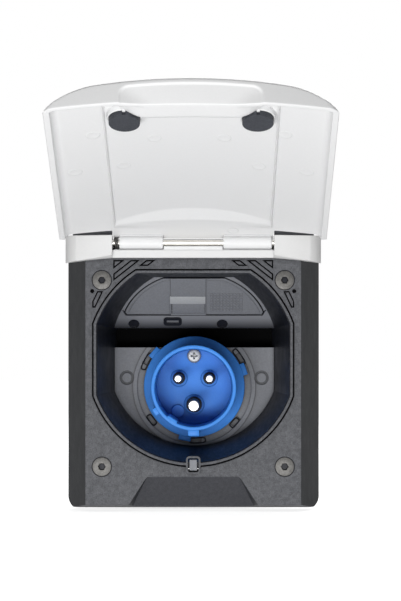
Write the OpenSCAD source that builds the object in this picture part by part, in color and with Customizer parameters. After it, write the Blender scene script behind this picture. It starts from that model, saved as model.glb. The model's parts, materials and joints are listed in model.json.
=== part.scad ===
// Flush-mounted power inlet with a hinged lid that magnets hold shut, shown with the lid open.
// X runs right, Y runs into the wall and Z runs up, in millimetres.
// The origin is the centre of the mounting screws on the wall plane, so the front has negative Y.

/* [Frame] */
// Width of the frame at the wall
body_w = 140; // [136:1:146]
// Height of the frame at the wall
body_h = 150; // [148:1:156]
// Width of the flat front face
face_w = 118; // [117:1:122]
// Distance from the wall to the front face
frame_depth = 22; // [21:0.5:24]
// Radius of the outline's corners
corner_r = 6.5; // [4:0.5:9]
// How far the top and bottom edges draw in between the wall and the face
end_draft = 3.1; // [2:0.1:4]
// Thickness of the front plate
plate_t = 3; // [2.6:0.1:3.6]
// Half width of the hollow behind the plate
hollow_half_w = 57; // [56.5:0.1:57.4]
// Height of the hollow's top edge
hollow_top = 63; // [62.5:0.1:64]
// Room between the opening's lower edge and the hollow's bottom
hollow_room = 4.5; // [4.2:0.1:5]

/* [Opening] */
// Distance of the opening's edge from the axes of the upper screws
opening_room = 9.8; // [9.4:0.1:10]
// Height of the opening's centre
opening_z = 7.5; // [7:0.1:8]
// Half width between the opening's side flats
opening_side = 53; // [52.9:0.1:53.6]
// Height of the top flat above the opening's centre
opening_top = 47.3; // [46.8:0.1:47.8]
// Width of the raised lip
lip_w = 1.4; // [1:0.1:1.6]
// Height of the raised lip
lip_h = 1.2; // [0.8:0.1:1.4]
// Width of the engraved lines
line_w = 0.9; // [0.6:0.1:1]
// Depth of the engraved lines
line_d = 0.9; // [0.6:0.1:1.3]

/* [Ornament] */
// Left limit of the ornament, from the middle
ornament_x = 43.7; // [43:0.1:44]
// Gap between the ornament and the rail
ornament_gap = 1; // [0.8:0.1:1.6]
// Slope of the stripes in degrees
stripe_angle = 38; // [35:1:41]
// Height of the stripes where they meet the left limit
stripe_h = 3.9; // [3.6:0.1:4.2]
// Start of the long stripe on the left limit
stripe_z = 50.6; // [50.4:0.1:51]
// Step between neighbouring stripes on the left limit
stripe_step = 6.6; // [6.4:0.1:7]
// Lower limit of the short stripe
short_stripe_z = 58.8; // [58.4:0.1:59.2]
// Distance of the side slash from the middle, at its lower point
slash_x = 55.2; // [54.8:0.1:55.4]
// Height of the side slash's top edge
slash_top = 45; // [44.6:0.1:45.2]
// Height of the side slash
slash_h = 9; // [8.6:0.1:9.4]
// Width of the side slash
slash_w = 3.3; // [3:0.1:3.6]
// Sideways lean of the side slash
slash_lean = 6; // [5.6:0.1:6.4]
// Width of the side slash's foot
slash_foot = 1.7; // [1.6:0.1:2]
// Radius of the ornament's dot
dot_r = 1.1; // [1:0.1:1.2]

/* [Mounting screws] */
// Spacing of the screws across
screw_dx = 100; // [99:0.5:101]
// Spacing of the screws in height
screw_dz = 102; // [101:0.5:103]
// Radius of the screw shank
screw_r = 2.5; // [2:0.1:2.6]
// Radius of the countersunk head
screw_head_r = 5.3; // [4.9:0.1:5.6]
// Width of the hexagon socket across its corners
socket_w = 4; // [3.4:0.1:4.4]
// Depth of the hexagon socket
socket_d = 2.2; // [1.6:0.1:2.6]
// Length of the shank behind the wall plane
stud_l = 22; // [16:1:30]
// Radius of the boss round each screw
boss_r = 6.8; // [6.6:0.1:7]

/* [Notch] */
// Distance of the notch's top edge from the opening
notch_room = 6.8; // [6.6:0.1:7.4]
// Half width of the notch at its top
notch_half_top = 27.2; // [26:0.1:28]
// Half width of the notch at the bottom of the frame
notch_half_bottom = 37.9; // [37:0.1:38.4]
// Slant of the notch's side walls in degrees
notch_draft = 15; // [10:1:18]
// Radius of the notch's top corners
notch_r = 6; // [4:0.5:8]
// Depth of the notch at the bottom of the frame
notch_depth = 9; // [8.4:0.1:10]

/* [Tub] */
// Step between the opening's edge and the tub's mouth
mouth_step = 0.3; // [0.2:0.05:0.6]
// Wall thickness of the tub
tub_wall = 2.4; // [2:0.1:2.4]
// Narrowing of the tub's radius per mm of depth
tub_taper = 0.086; // [0.08:0.002:0.09]
// Height above the origin at which the ceiling starts to slant
ceiling_z = 55; // [54.9:0.1:56]
// Depth behind the wall at which the ceiling starts to slant
ceiling_y = 24; // [23:0.5:25]
// Slope of the slanted ceiling in degrees
ceiling_angle = 50.4; // [49.5:0.1:51]
// Length of the slanted ceiling
ceiling_l = 37.6; // [37:0.1:38]
// Depth of the dark pocket behind the wall
pocket_y = 66; // [64:0.5:68]
// Depth of the terminal chamber behind the wall
chamber_y = 80; // [79:0.5:83]
// Width of the ledge that carries the panel
ledge_w = 3; // [2.5:0.1:3.5]
// Position of the tub's flange in front of the wall
flange_y = 12; // [11.5:0.1:12.5]
// Thickness of the tub's flange
flange_t = 2.5; // [2.2:0.1:3]
// Width of the tub's flange round the mouth
flange_w = 1.2; // [0.8:0.1:1.4]
// Radius of the flange's screw ears
ear_r = 4.2; // [4:0.1:4.4]
// Upper ears, distance beside the corners of the opening
ear_side = 6.6; // [6.4:0.1:7]
// Upper ears, height above the tub's top
ear_rise = 3.2; // [3:0.1:3.4]
// Lower ears, distance from the opening's edge
ear_out = 7.5; // [7.3:0.1:7.8]
// Lower ears, angle below the middle in degrees
ear_angle = 40; // [39:0.5:41]

/* [Service cover] */
// Thickness of the service cover
cover_t = 2.2; // [1.8:0.1:2.4]
// Length of the service cover down the slope
cover_l = 26.6; // [26:0.1:27]
// Distance of the cover's top edge from the start of the slope
cover_top = 1; // [0.8:0.1:1.4]
// Gap round the service cover
cover_gap = 0.8; // [0.6:0.1:1]
// Half width of the cover's lower edge
cover_half_w = 39; // [38:0.1:40]
// Radius of the arc along the cover's sides
cover_arc_r = 42.5; // [42:0.1:43]
// Distance of that arc's centre from the start of the slope
cover_arc_v = 40; // [39:0.1:40]
// Size of the chamfer on the cover's lower corners
cover_chamfer = 3; // [2:0.1:4]
// Left edge of the cover's raised strip, from the middle
strip_x = 13.4; // [13:0.1:14]
// Width of the cover's raised strip
strip_w = 20.2; // [19:0.1:21]
// Height of the cover's raised strip
strip_h = 0.5; // [0.3:0.1:0.8]
// Start of the grip recess down the slope
grip_v = 14.6; // [14:0.1:15]
// Length of the grip recess
grip_l = 11.4; // [11:0.1:12]
// Depth of the grip recess
grip_d = 1.2; // [0.8:0.1:1.4]
// Length of the latch rim
latch_w = 10.6; // [10:0.1:11]
// Height of the latch rim
latch_h = 5.6; // [5.2:0.1:5.8]
// Thickness of the latch rim
latch_t = 1; // [0.7:0.1:1.4]
// Distance of the latch from the middle
latch_x = 12.6; // [12:0.1:13]
// Distance of the latch down the slope
latch_v = 32.2; // [31.8:0.1:32.6]
// Radius of the dimples below the cover
dimple_r = 3.2; // [2.8:0.1:3.4]

/* [Carrier] */
// Height of the carrier panel's top edge
carrier_top = 14.8; // [14.4:0.1:15.2]
// Depth of the carrier's front face behind the wall
carrier_y = 49; // [48.6:0.1:49.4]
// Thickness of the carrier panel
carrier_t = 3; // [2.8:0.1:3.4]
// Inner radius of the raised ring round the inlet
ring_r = 33.5; // [33.2:0.1:34]
// Width of the raised ring
ring_w = 2.5; // [2:0.1:2.8]
// Height of the raised ring
ring_h = 1; // [0.6:0.1:1.4]
// Distance of the carrier's screws from the middle
carrier_screw_x = 39.5; // [39.2:0.1:40]
// Depth of the carrier's screws below the origin
carrier_screw_z = 3; // [2:0.1:4]
// Radius of the recesses for the carrier's screws
carrier_recess_r = 4.2; // [4:0.1:4.4]
// Depth of the recesses for the carrier's screws
carrier_recess_d = 1.6; // [1.2:0.1:1.8]

/* [Inlet] */
// Depth of the inlet's axis below the origin
inlet_z = 8.3; // [8:0.1:8.8]
// Outer radius of the inlet's collar
collar_r = 24; // [23.8:0.1:24.4]
// Wall thickness of the collar
collar_wall = 2.2; // [2:0.1:2.3]
// Position of the collar's rim behind the wall
rim_y = 1; // [0:0.5:3]
// Radius of the inlet's flange
inlet_flange_r = 29.5; // [29:0.1:30]
// Thickness of the inlet's flange
inlet_flange_t = 3; // [2.5:0.1:3.4]
// Depth of the insert's face behind the wall
insert_y = 43; // [42:0.1:43.4]
// Thickness of the pin insert
insert_t = 12; // [11.5:0.1:12.5]
// Distance of the pins from the inlet's axis
pin_circle_r = 10.2; // [9.8:0.1:10.6]
// Radius of the line and neutral pins
live_pin_r = 2.5; // [2.4:0.05:2.6]
// Radius of the earth pin
earth_pin_r = 3.5; // [3.4:0.05:3.6]
// Depth of the pin tips behind the wall
pin_tip_y = 7.5; // [6.5:0.5:9]
// Gap round each pin in the insert's face
pin_moat = 0.9; // [0.7:0.05:1]
// Depth of the gap round each pin
pin_moat_d = 6; // [5:0.5:7]
// Distance of the insert's screw above the axis
insert_screw_z = 17.2; // [17:0.05:17.25]
// Radius of the insert's screw head
insert_head_r = 3.7; // [3.4:0.05:3.75]
// Radius of the insert's round boss
key_boss_r = 3.6; // [3.2:0.1:3.8]
// Width of the collar's ribs
rib_w = 6.4; // [5.5:0.1:7]
// Height of the collar's ribs
rib_h = 3; // [2.5:0.1:3.4]

/* [Hinge] */
// Distance of the hinge axis below the frame's top edge
hinge_in = 3.8; // [3.6:0.1:4]
// Distance of the hinge axis in front of the face
hinge_out = 2; // [1.9:0.1:2.1]
// Radius of the hinge pin
pin_r = 1.6; // [1.5:0.05:1.7]
// Depth of the pin in each end block
pin_seat = 12; // [10:0.5:13]
// Radius of the lid's hinge barrels
barrel_r = 3.5; // [3.3:0.05:3.55]
// Inner ends of the barrels, from the middle
barrel_in = 16.4; // [15:0.1:18]
// Outer end of the right barrel, from the middle
barrel_out = 42.8; // [42.4:0.1:43]
// Room beside the left barrel for the spring
spring_room = 2.6; // [2.4:0.1:3]
// Inner ends of the rail's end blocks, from the middle
block_in = 44; // [43.9:0.1:44.4]
// Distance of the rail's lower edge below the hinge axis
rail_down = 8.2; // [8:0.1:8.4]
// Height of the rail's middle strip
rail_strip_h = 4.2; // [3.8:0.1:4.3]
// How far the middle strip stands in front of the face
rail_strip_t = 4.2; // [3.6:0.1:4.5]
// Distance of the rail's top edge above the hinge axis
rail_up = 4; // [3.6:0.1:4.4]
// Radius of the arc along the lower edge of the end blocks
droop_r = 575; // [540:5:640]
// Wire radius of the torsion spring
wire_r = 0.5; // [0.4:0.02:0.54]

/* [Lid] */
// Angle by which the lid stands open
lid_open = 113; // [0:1:113]
// Wall thickness of the lid
lid_wall = 2.4; // [2.2:0.1:2.6]
// How much wider the lid is than the frame
lid_over = 1; // [0.6:0.1:2]
// Radius of the lid's crown
crown_r = 330; // [320:1:345]
// Radius of the rounding between the crown and the lid's sides
edge_r = 12; // [10:0.5:13]
// Height of the crown's apex in front of the face
crown_h = 10.4; // [10.2:0.1:10.8]
// How far the lid's rim reaches behind the face
lid_rim = 3.2; // [2.6:0.1:3.6]
// Depth of the lid's free edge below the origin
lid_end = 82; // [81.6:0.1:83]
// Radius of the lid's corners
lid_corner_r = 8; // [6:0.5:10]
// Radius of the free edge's arc
lid_end_r = 300; // [295:1:320]
// Clearance between the lid and the rail
hinge_gap = 0.6; // [0.5:0.05:0.7]
// Gap between the pad behind the tongue and the hinge axis
pad_gap = 3.6; // [3.5:0.05:3.8]
// Distance of the pad's ramp from the hinge axis
pad_l = 20.2; // [19:0.1:22]
// Length of the pad's ramp
ramp_l = 13.8; // [13:0.1:15]
// Distance of the lid's ribs from the middle
lid_rib_x = 42; // [41.4:0.1:42.4]
// Width of the lid's ribs
lid_rib_w = 1.2; // [0.8:0.1:1.4]
// Height of the lid's ribs
lid_rib_h = 1.2; // [0.8:0.1:1.5]

/* [Finger scoop] */
// Half width of the scoop at the crown
scoop_half_w = 33.5; // [32:0.1:34]
// Half width of the scoop at its lip
scoop_lip_w = 28; // [27:0.1:28.6]
// Half width of the scoop at its far end
scoop_floor_w = 20; // [18:0.1:22]
// Length of the scoop
scoop_l = 13.5; // [12.5:0.1:14]
// How far the scoop's outside reaches behind the face
scoop_reach = 3.2; // [2.8:0.1:3.6]
// Radius of the scoop's far edge
scoop_r = 7; // [5:0.5:7.5]
// Wall thickness of the scoop
scoop_wall = 1.8; // [1.6:0.1:2]

/* [Magnets] */
// Distance of the magnets from the middle
magnet_x = 31.9; // [31.5:0.1:32.3]
// Depth of the magnets below the origin
magnet_z = 58; // [57.6:0.1:58.4]
// Radius of the magnet caps
cap_r = 7.5; // [7.2:0.1:7.6]
// Height of the magnet caps
cap_h = 4.6; // [4.2:0.1:5]
// Gap between the caps and the face when shut
cap_gap = 0.3; // [0.25:0.05:0.4]
// Radius of the magnets
magnet_r = 6; // [5.5:0.1:6.2]
// Thickness of the magnets
magnet_t = 3; // [2.6:0.1:3.2]
// How far the keepers stand outside the magnets
keeper_dx = 3.4; // [3:0.1:3.8]
// How far the keepers stand above the magnets
keeper_dz = 2.5; // [2:0.1:3]
// Radius of the keeper plates
keeper_r = 4.5; // [4:0.1:4.8]
// Thickness of the keeper plates
keeper_t = 1.5; // [1.2:0.1:1.8]

/* [Catch] */
// Width of the catch's frame
catch_w = 8; // [7.6:0.1:8.4]
// Height of the catch's frame
catch_h = 9.8; // [9.4:0.1:10]
// How far the catch's frame reaches into the opening
catch_in = 3.8; // [3.5:0.1:4]
// Thickness of the catch's frame
catch_frame = 1.1; // [0.9:0.1:1.2]
// Gap round the catch's tongue
catch_gap = 0.85; // [0.7:0.05:0.9]

/* [Gland] */
// Radius of the gland's thread
gland_r = 8; // [7.5:0.1:8.2]
// Depth of the gland's axis below the origin
gland_z = 20; // [19:0.1:20.5]
// Radius of the hexagon on the gland, across its corners
gland_hex_r = 12.7; // [12:0.1:12.8]
// Radius of the cable's passage
cable_r = 4; // [3.5:0.1:4.5]

/* [Fits] */
// Clearance of a piece that sits in its seat
seat_gap = 0.02; // [0.02:0.01:0.05]
// Clearance of the barrels on the hinge pin
run_gap = 0.05; // [0.03:0.01:0.08]
// Clearance of the panels in the tub
panel_gap = 0.1; // [0.05:0.05:0.2]

/* [Hidden] */
$fn = 64;
eps = 1;
edge_step = 0.25;
far = 200;
front_y = -frame_depth;
hinge_z = body_h / 2 - hinge_in;
rail_z = hinge_z - rail_down;
rail_top = hinge_z + rail_up;
ornament_top = rail_z - ornament_gap;
opening_r = norm([screw_dx / 2, screw_dz / 2 - opening_z]) - opening_room;
opening_low = opening_r - opening_z;
hollow_bottom = opening_low + hollow_room;
catch_top = opening_low - catch_in;
notch_top = opening_low + notch_room;
tub_r = opening_r - mouth_step;
tub_side = opening_side - mouth_step;
ear_top_x = sqrt(pow(opening_r, 2) - pow(opening_top, 2)) + ear_side;
ear_top_z = opening_z + opening_top + ear_rise;
ear_low_x = (opening_r + ear_out) * cos(ear_angle);
ear_low_z = (opening_r + ear_out) * sin(ear_angle) - opening_z;
plate_y = front_y + plate_t;
lip_y = front_y - lip_h;
hinge_y = front_y - hinge_out;
apex_y = front_y - crown_h;
lid_rim_y = front_y + lid_rim;
lid_half = (body_w + lid_over) / 2;
lid_corner_z = lid_end_r - lid_end - edge_step
  - sqrt(pow(lid_end_r - lid_corner_r, 2) - pow(lid_half - lid_corner_r, 2));
cap_top_y = front_y - cap_gap;
cap_base_y = cap_top_y - cap_h;
tub_end = chamber_y + tub_wall;
tub_len = tub_end - plate_y;
tub_top = opening_z + opening_top;
carrier_back = carrier_y + carrier_t;
insert_back = insert_y + insert_t;
collar_in = collar_r - collar_wall;
ceiling_low_y = ceiling_y + ceiling_l * cos(ceiling_angle);
ceiling_low_z = ceiling_z - ceiling_l * sin(ceiling_angle);
droop_zc = rail_z + pow(block_in, 2) / (2 * droop_r) - droop_r;
relief_d = 1.4;
relief_r = 2 * screw_r + hinge_gap;
neck_r = screw_r - 0.2;
fixing_r = 1.5;
fixing_head_r = 2.8;
fixing_head_h = 1.5;
fixing_grip = 6;
tub_screw_y = -flange_y + flange_t;
pin_l = 2 * (block_in + pin_seat);
rail_screw_x = block_in + pin_seat + eps;
rail_screw_z = hinge_z - 3.7;
rail_counterbore = 8;
gasket_in = 3;
gasket_w = 5;
gasket_t = 2;
frame_pocket = [39, 66];
catch_floor = 4.2;
catch_reach = 3.6;
shelf_t = tub_wall;
post_r = 2.2;
post_l = 7;
collar_flange_t = 2;
clamp_r = 4.2;
clamp_l = 14;
wire_bore_r = 1.8;
clamp_screw_l = 4.5;
clamp_head_r = 2.4;
clamp_head_h = 1.6;
gland_hex_h = 5.5;
gland_nut_h = 5;
gland_neck = 14.5;
gland_cap_r = 10.4;
gland_cap_wall = 2;
gland_seal_t = 3.5;
root_step = 0.5;
tip_chamfer = 1.2;
rail_nose_in = hinge_z - rail_z + 0.3;
rail_nose_out = rail_nose_in + 2.2;
tongue_half = block_in - hinge_gap;
tongue_top = hinge_z + 1.5;
pad_y = hinge_y - pad_gap;
web_down = 2.2;
cap_tab_w = 1.4;
lug_angles = [30, 150, 270];
lug_turn = 60;
lug_h = 3.2;
lug_w = 7.2;
lug_step = 0.4;
lug_t = 2;
window_angles = [32, 150, 218, 272, 320];
window_gap = 0.8;
window_d = 1.4;
seal_r = 25.4;
seal_w = 2.6;
seal_t = 1.5;
rib_angle = 212;
key_angle = 236;
key_h = 2.5;
key_short = 5;
key_boss_x = 17;
seat_step = 0.8;
line_angle = 150;
neutral_angle = 30;
earth_angle = 270;
ring_line_r = 2.1;
ring_line_w = 0.4;
ring_line_d = 0.5;
screw_slot = 1;

anthracite = [0.26, 0.27, 0.29];
black = [0.08, 0.08, 0.1];
white = [0.9, 0.91, 0.92];
grey = [0.42, 0.43, 0.45];
blue = [0.12, 0.36, 0.85];
steel = [0.66, 0.67, 0.68];
nickel = [0.8, 0.79, 0.76];
rubber = [0.14, 0.14, 0.15];
brass = [0.75, 0.6, 0.3];

// Extrudes a shape drawn in Y and Z along X.
module along_x(x0, x1) {
  translate([x0, 0, 0])
    rotate([90, 0, 90])
      linear_extrude(height = x1 - x0)
        children();
}

// Extrudes a shape drawn in X and Z along Y.
module along_y(y0, y1) {
  translate([0, y1, 0])
    rotate([90, 0, 0])
      linear_extrude(height = y1 - y0)
        children();
}

// Extrudes a shape drawn in X and Y along Z.
module along_z(z0, z1) {
  translate([0, 0, z0])
    linear_extrude(height = z1 - z0)
      children();
}

// A round bar or cone along Y.
module rod_y(y0, y1, r1, r2, x = 0, z = 0) {
  translate([x, y0, z])
    rotate([-90, 0, 0])
      cylinder(h = y1 - y0, r1 = r1, r2 = r2);
}

// A round bar along X on the hinge axis.
module hinge_rod(x0, x1, r1, r2) {
  translate([x0, hinge_y, hinge_z])
    rotate([0, 90, 0])
      cylinder(h = x1 - x0, r1 = r1, r2 = r2);
}

module tube_y(y0, y1, r_out, r_in, x = 0, z = 0) {
  difference() {
    rod_y(y0, y1, r_out, r_out, x, z);
    rod_y(y0 - eps, y1 + eps, r_in, r_in, x, z);
  }
}

// A block given by its two corners.
module block(a, b) {
  translate(a)
    cube(b - a);
}

module both_sides() {
  children();
  mirror([1, 0, 0])
    children();
}

module rounded_rect(w, h, r) {
  square([w - 2 * r, h], center = true);
  square([w, h - 2 * r], center = true);
  for (sx = [-1, 1], sz = [-1, 1])
    translate([sx * (w / 2 - r), sz * (h / 2 - r)])
      circle(r = r);
}

// Turns children about the Y axis, counted from right to up as the front shows it.
module at_angle(a) {
  rotate([0, -a, 0])
    children();
}

// The frame's outside: sloped sides, drafted ends and rounded corners.
module frame_form() {
  intersection() {
    along_z(-far, far)
      polygon([[-face_w / 2, front_y], [face_w / 2, front_y], [body_w / 2, 0], [-body_w / 2, 0]]);
    along_y(front_y - eps, 0)
      rounded_rect(body_w, body_h, corner_r);
    along_x(-far, far)
      polygon([
        [front_y, end_draft - body_h / 2], [0, -body_h / 2], [0, body_h / 2], [front_y, body_h / 2 - end_draft]
      ]);
  }
}

module opening_shape(grow) {
  side = opening_side + grow;
  intersection() {
    translate([0, opening_z])
      circle(r = opening_r + grow);
    translate([-side, -far])
      square([2 * side, far + tub_top + grow]);
  }
}

module catch_outline(inset) {
  r = catch_w / 4;
  translate([0, -catch_top - catch_h / 2])
    rounded_rect(catch_w - 2 * inset, catch_h - 2 * inset, max(r - inset, r / 4));
}

module catch_slot() {
  along_y(lip_y - eps, lip_y + catch_floor)
    catch_outline(catch_frame);
}

// One slanted stripe of the ornament on the left, shrunk by inset for the pad inside its groove.
module stripe(z0, z1, z_min, inset) {
  rise = far * tan(stripe_angle);
  lean = inset / cos(stripe_angle);
  intersection() {
    polygon([
      [-ornament_x, z0 + lean], [far - ornament_x, z0 + lean + rise],
      [far - ornament_x, z1 - lean + rise], [-ornament_x, z1 - lean]
    ]);
    translate([-ornament_x + inset, z_min + inset])
      square([ornament_x, ornament_top - z_min - 2 * inset]);
  }
}

module slash(inset) {
  lean = inset * 1.1;
  low = slash_top - slash_h;
  right = slash_lean - slash_x;
  rise = (right - slash_foot + slash_x) / slash_h;
  polygon([
    [inset - slash_x, low + inset], [inset - slash_x, low + slash_w],
    [right - slash_w + lean / 2, slash_top - inset], [right - lean - inset * rise, slash_top - inset],
    [slash_foot - slash_x - lean + inset * rise, low + inset]
  ]);
}

module ornament_lines() {
  low = stripe_z - stripe_step;
  high = stripe_z + stripe_step;
  difference() {
    union() {
      stripe(stripe_z, stripe_z + stripe_h, 0, 0);
      stripe(low, low + stripe_h, short_stripe_z, 0);
      stripe(high, high + far, 0, 0);
      slash(0);
      translate([-slash_x, slash_top])
        circle(r = dot_r);
    }
    stripe(stripe_z, stripe_z + stripe_h, 0, line_w * 0.8);
    stripe(low, low + stripe_h, short_stripe_z, line_w * 0.8);
    stripe(high, high + far, 0, line_w * 0.8);
    slash(line_w * 0.8);
  }
}

// The ramp that the lid's scoop nests in.
module notch_cut() {
  foot = body_h / 2 + eps;
  slope = notch_depth / (body_h / 2 - notch_top);
  shoulder = notch_top + notch_r * 0.6;
  lean = atan((notch_half_bottom - notch_half_top) / (foot - shoulder));
  deep = notch_depth + eps;
  difference() {
    intersection() {
      along_y(front_y - eps, 0) {
        polygon([
          [-notch_half_bottom, -foot], [notch_half_bottom, -foot], [notch_half_top, -shoulder],
          [notch_half_top - notch_r * 0.14, -notch_top - notch_r * 0.37],
          [notch_half_top - notch_r * 0.36, -notch_top - notch_r * 0.15],
          [notch_half_top - notch_r * 0.65, -notch_top - notch_r * 0.03],
          [notch_half_top - notch_r, -notch_top], [notch_r - notch_half_top, -notch_top],
          [notch_r * 0.65 - notch_half_top, -notch_top - notch_r * 0.03],
          [notch_r * 0.36 - notch_half_top, -notch_top - notch_r * 0.15],
          [notch_r * 0.14 - notch_half_top, -notch_top - notch_r * 0.37],
          [-notch_half_top, -shoulder]
        ]);
      }
      along_x(-far, far)
        polygon([
          [front_y - eps, -notch_top], [front_y, -notch_top],
          [front_y + slope * (foot - notch_top), -foot], [front_y - eps, -foot]
        ]);
    }
    both_sides()
      translate([-notch_half_top, 0, -shoulder])
        rotate([0, lean, 0])
          along_z(-far, notch_r)
            polygon([
              [-notch_r, front_y], [0, front_y],
              [deep * tan(notch_draft), front_y + deep], [-notch_r, front_y + deep]
            ]);
  }
}

module frame_hollow() {
  block([-hollow_half_w, plate_y, -hollow_bottom], [hollow_half_w, eps, hollow_top]);
  both_sides()
    block([frame_pocket[0], plate_y, -frame_pocket[1]], [hollow_half_w, eps, eps - hollow_bottom]);
}

module at_mounting_screws() {
  for (sx = [-1, 1], sz = [-1, 1])
    translate([sx * screw_dx / 2, 0, sz * screw_dz / 2])
      children();
}

module at_tub_screws() {
  for (p = [[-ear_top_x, ear_top_z], [ear_top_x, ear_top_z], [-ear_low_x, -ear_low_z], [ear_low_x, -ear_low_z]])
    translate([p[0], 0, p[1]])
      children();
}

module at_rail_screws() {
  for (sx = [-1, 1])
    translate([sx * rail_screw_x, 0, rail_screw_z])
      children();
}

module at_keepers() {
  for (sx = [-1, 1])
    translate([sx * (magnet_x + keeper_dx), 0, keeper_dz - magnet_z])
      children();
}

module at_magnets() {
  for (sx = [-1, 1])
    translate([sx * magnet_x, 0, -magnet_z])
      children();
}

module gasket_shape() {
  difference() {
    rounded_rect(body_w - 2 * gasket_in, body_h - 2 * gasket_in, corner_r);
    rounded_rect(body_w - 2 * (gasket_in + gasket_w), body_h - 2 * (gasket_in + gasket_w), corner_r / 2);
  }
}

module front_frame() {
  keeper_y = plate_y - keeper_t * 0.8;
  color(anthracite)
    difference() {
      union() {
        difference() {
          frame_form();
          frame_hollow();
        }
        at_mounting_screws()
          rod_y(plate_y - eps, 0, boss_r, boss_r);
        at_tub_screws()
          rod_y(plate_y - eps, -flange_y, ear_r - seat_gap, ear_r - seat_gap);
        along_y(lip_y, front_y + eps)
          opening_shape(lip_w);
        along_y(lip_y, plate_y)
          catch_outline(0);
      }
      difference() {
        along_y(lip_y - eps, plate_y + eps)
          opening_shape(0);
        along_y(lip_y - 2 * eps, plate_y)
          catch_outline(0);
      }
      along_y(front_y - eps, front_y + line_d)
        difference() {
          opening_shape(lip_w + line_w);
          opening_shape(lip_w);
          catch_outline(0);
        }
      along_y(front_y - eps, front_y + line_d) {
        ornament_lines();
        mirror([1, 0])
          ornament_lines();
      }
      notch_cut();
      catch_slot();
      at_mounting_screws() {
        rod_y(-relief_d, eps, relief_r, relief_r);
        rod_y(front_y - eps, eps, screw_r + seat_gap, screw_r + seat_gap);
        rod_y(front_y - eps, front_y, screw_head_r + eps, screw_head_r);
        rod_y(front_y, front_y + screw_head_r - screw_r, screw_head_r, screw_r);
      }
      at_tub_screws()
        rod_y(-flange_y - fixing_grip, eps - flange_y, fixing_r + seat_gap, fixing_r + seat_gap);
      at_keepers()
        rod_y(keeper_y, eps, keeper_r + seat_gap, keeper_r + seat_gap);
      block([-block_in, front_y - eps, rail_z + rail_strip_h], [block_in, hinge_y + barrel_r + eps, far]);
      at_rail_screws() {
        rod_y(front_y - eps, eps, fixing_r + seat_gap, fixing_r + seat_gap);
        rod_y(-rail_counterbore, eps, fixing_head_r + seat_gap, fixing_head_r + seat_gap);
      }
      along_y(-gasket_t, eps)
        gasket_shape();
    }
}

module wall_gasket() {
  color(rubber)
    along_y(-gasket_t, 0)
      gasket_shape();
}

module mounting_screws() {
  color(steel)
    at_mounting_screws()
      difference() {
        union() {
          rod_y(front_y + screw_head_r - screw_r - eps, -relief_d / 2, neck_r, neck_r);
          rod_y(-relief_d / 2, stud_l, screw_r, screw_r);
          rod_y(front_y, front_y + screw_head_r - screw_r, screw_head_r, screw_r);
        }
        translate([0, front_y - eps, 0])
          rotate([-90, 0, 0])
            cylinder(h = socket_d + eps, r = socket_w / 2, $fn = 6);
      }
}

// The tub's inside, or its outside with a negative inset.
module tub_form(inset) {
  r_end = tub_r - tub_taper * tub_len;
  side_end = tub_side - tub_taper * tub_len;
  intersection() {
    rod_y(plate_y, tub_end, tub_r - inset, r_end - inset, 0, opening_z);
    along_z(-far, tub_top - inset)
      polygon([
        [inset - tub_side, plate_y], [tub_side - inset, plate_y],
        [side_end - inset, tub_end], [inset - side_end, tub_end]
      ]);
  }
}

// Places children on the slanted ceiling: X across, Y down the slope, Z away from the recess.
module on_ceiling() {
  translate([0, ceiling_y, ceiling_z])
    rotate([-ceiling_angle, 0, 0])
      children();
}

module cover_outline(inset) {
  low = cover_top + cover_l - inset;
  half = cover_half_w - inset;
  wide = half + cover_chamfer / 2;
  intersection() {
    polygon([
      [-wide, cover_top + inset], [wide, cover_top + inset], [wide, low - cover_chamfer],
      [half, low], [-half, low], [-wide, low - cover_chamfer]
    ]);
    translate([0, cover_arc_v])
      circle(r = cover_arc_r - inset, $fn = 128);
  }
}

module cover_slab(inset, z0, z1) {
  on_ceiling()
    translate([0, 0, z0])
      linear_extrude(height = z1 - z0)
        cover_outline(inset);
}

module at_carrier_screws() {
  for (sx = [-1, 1])
    translate([sx * carrier_screw_x, 0, -carrier_screw_z])
      children();
}

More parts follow.
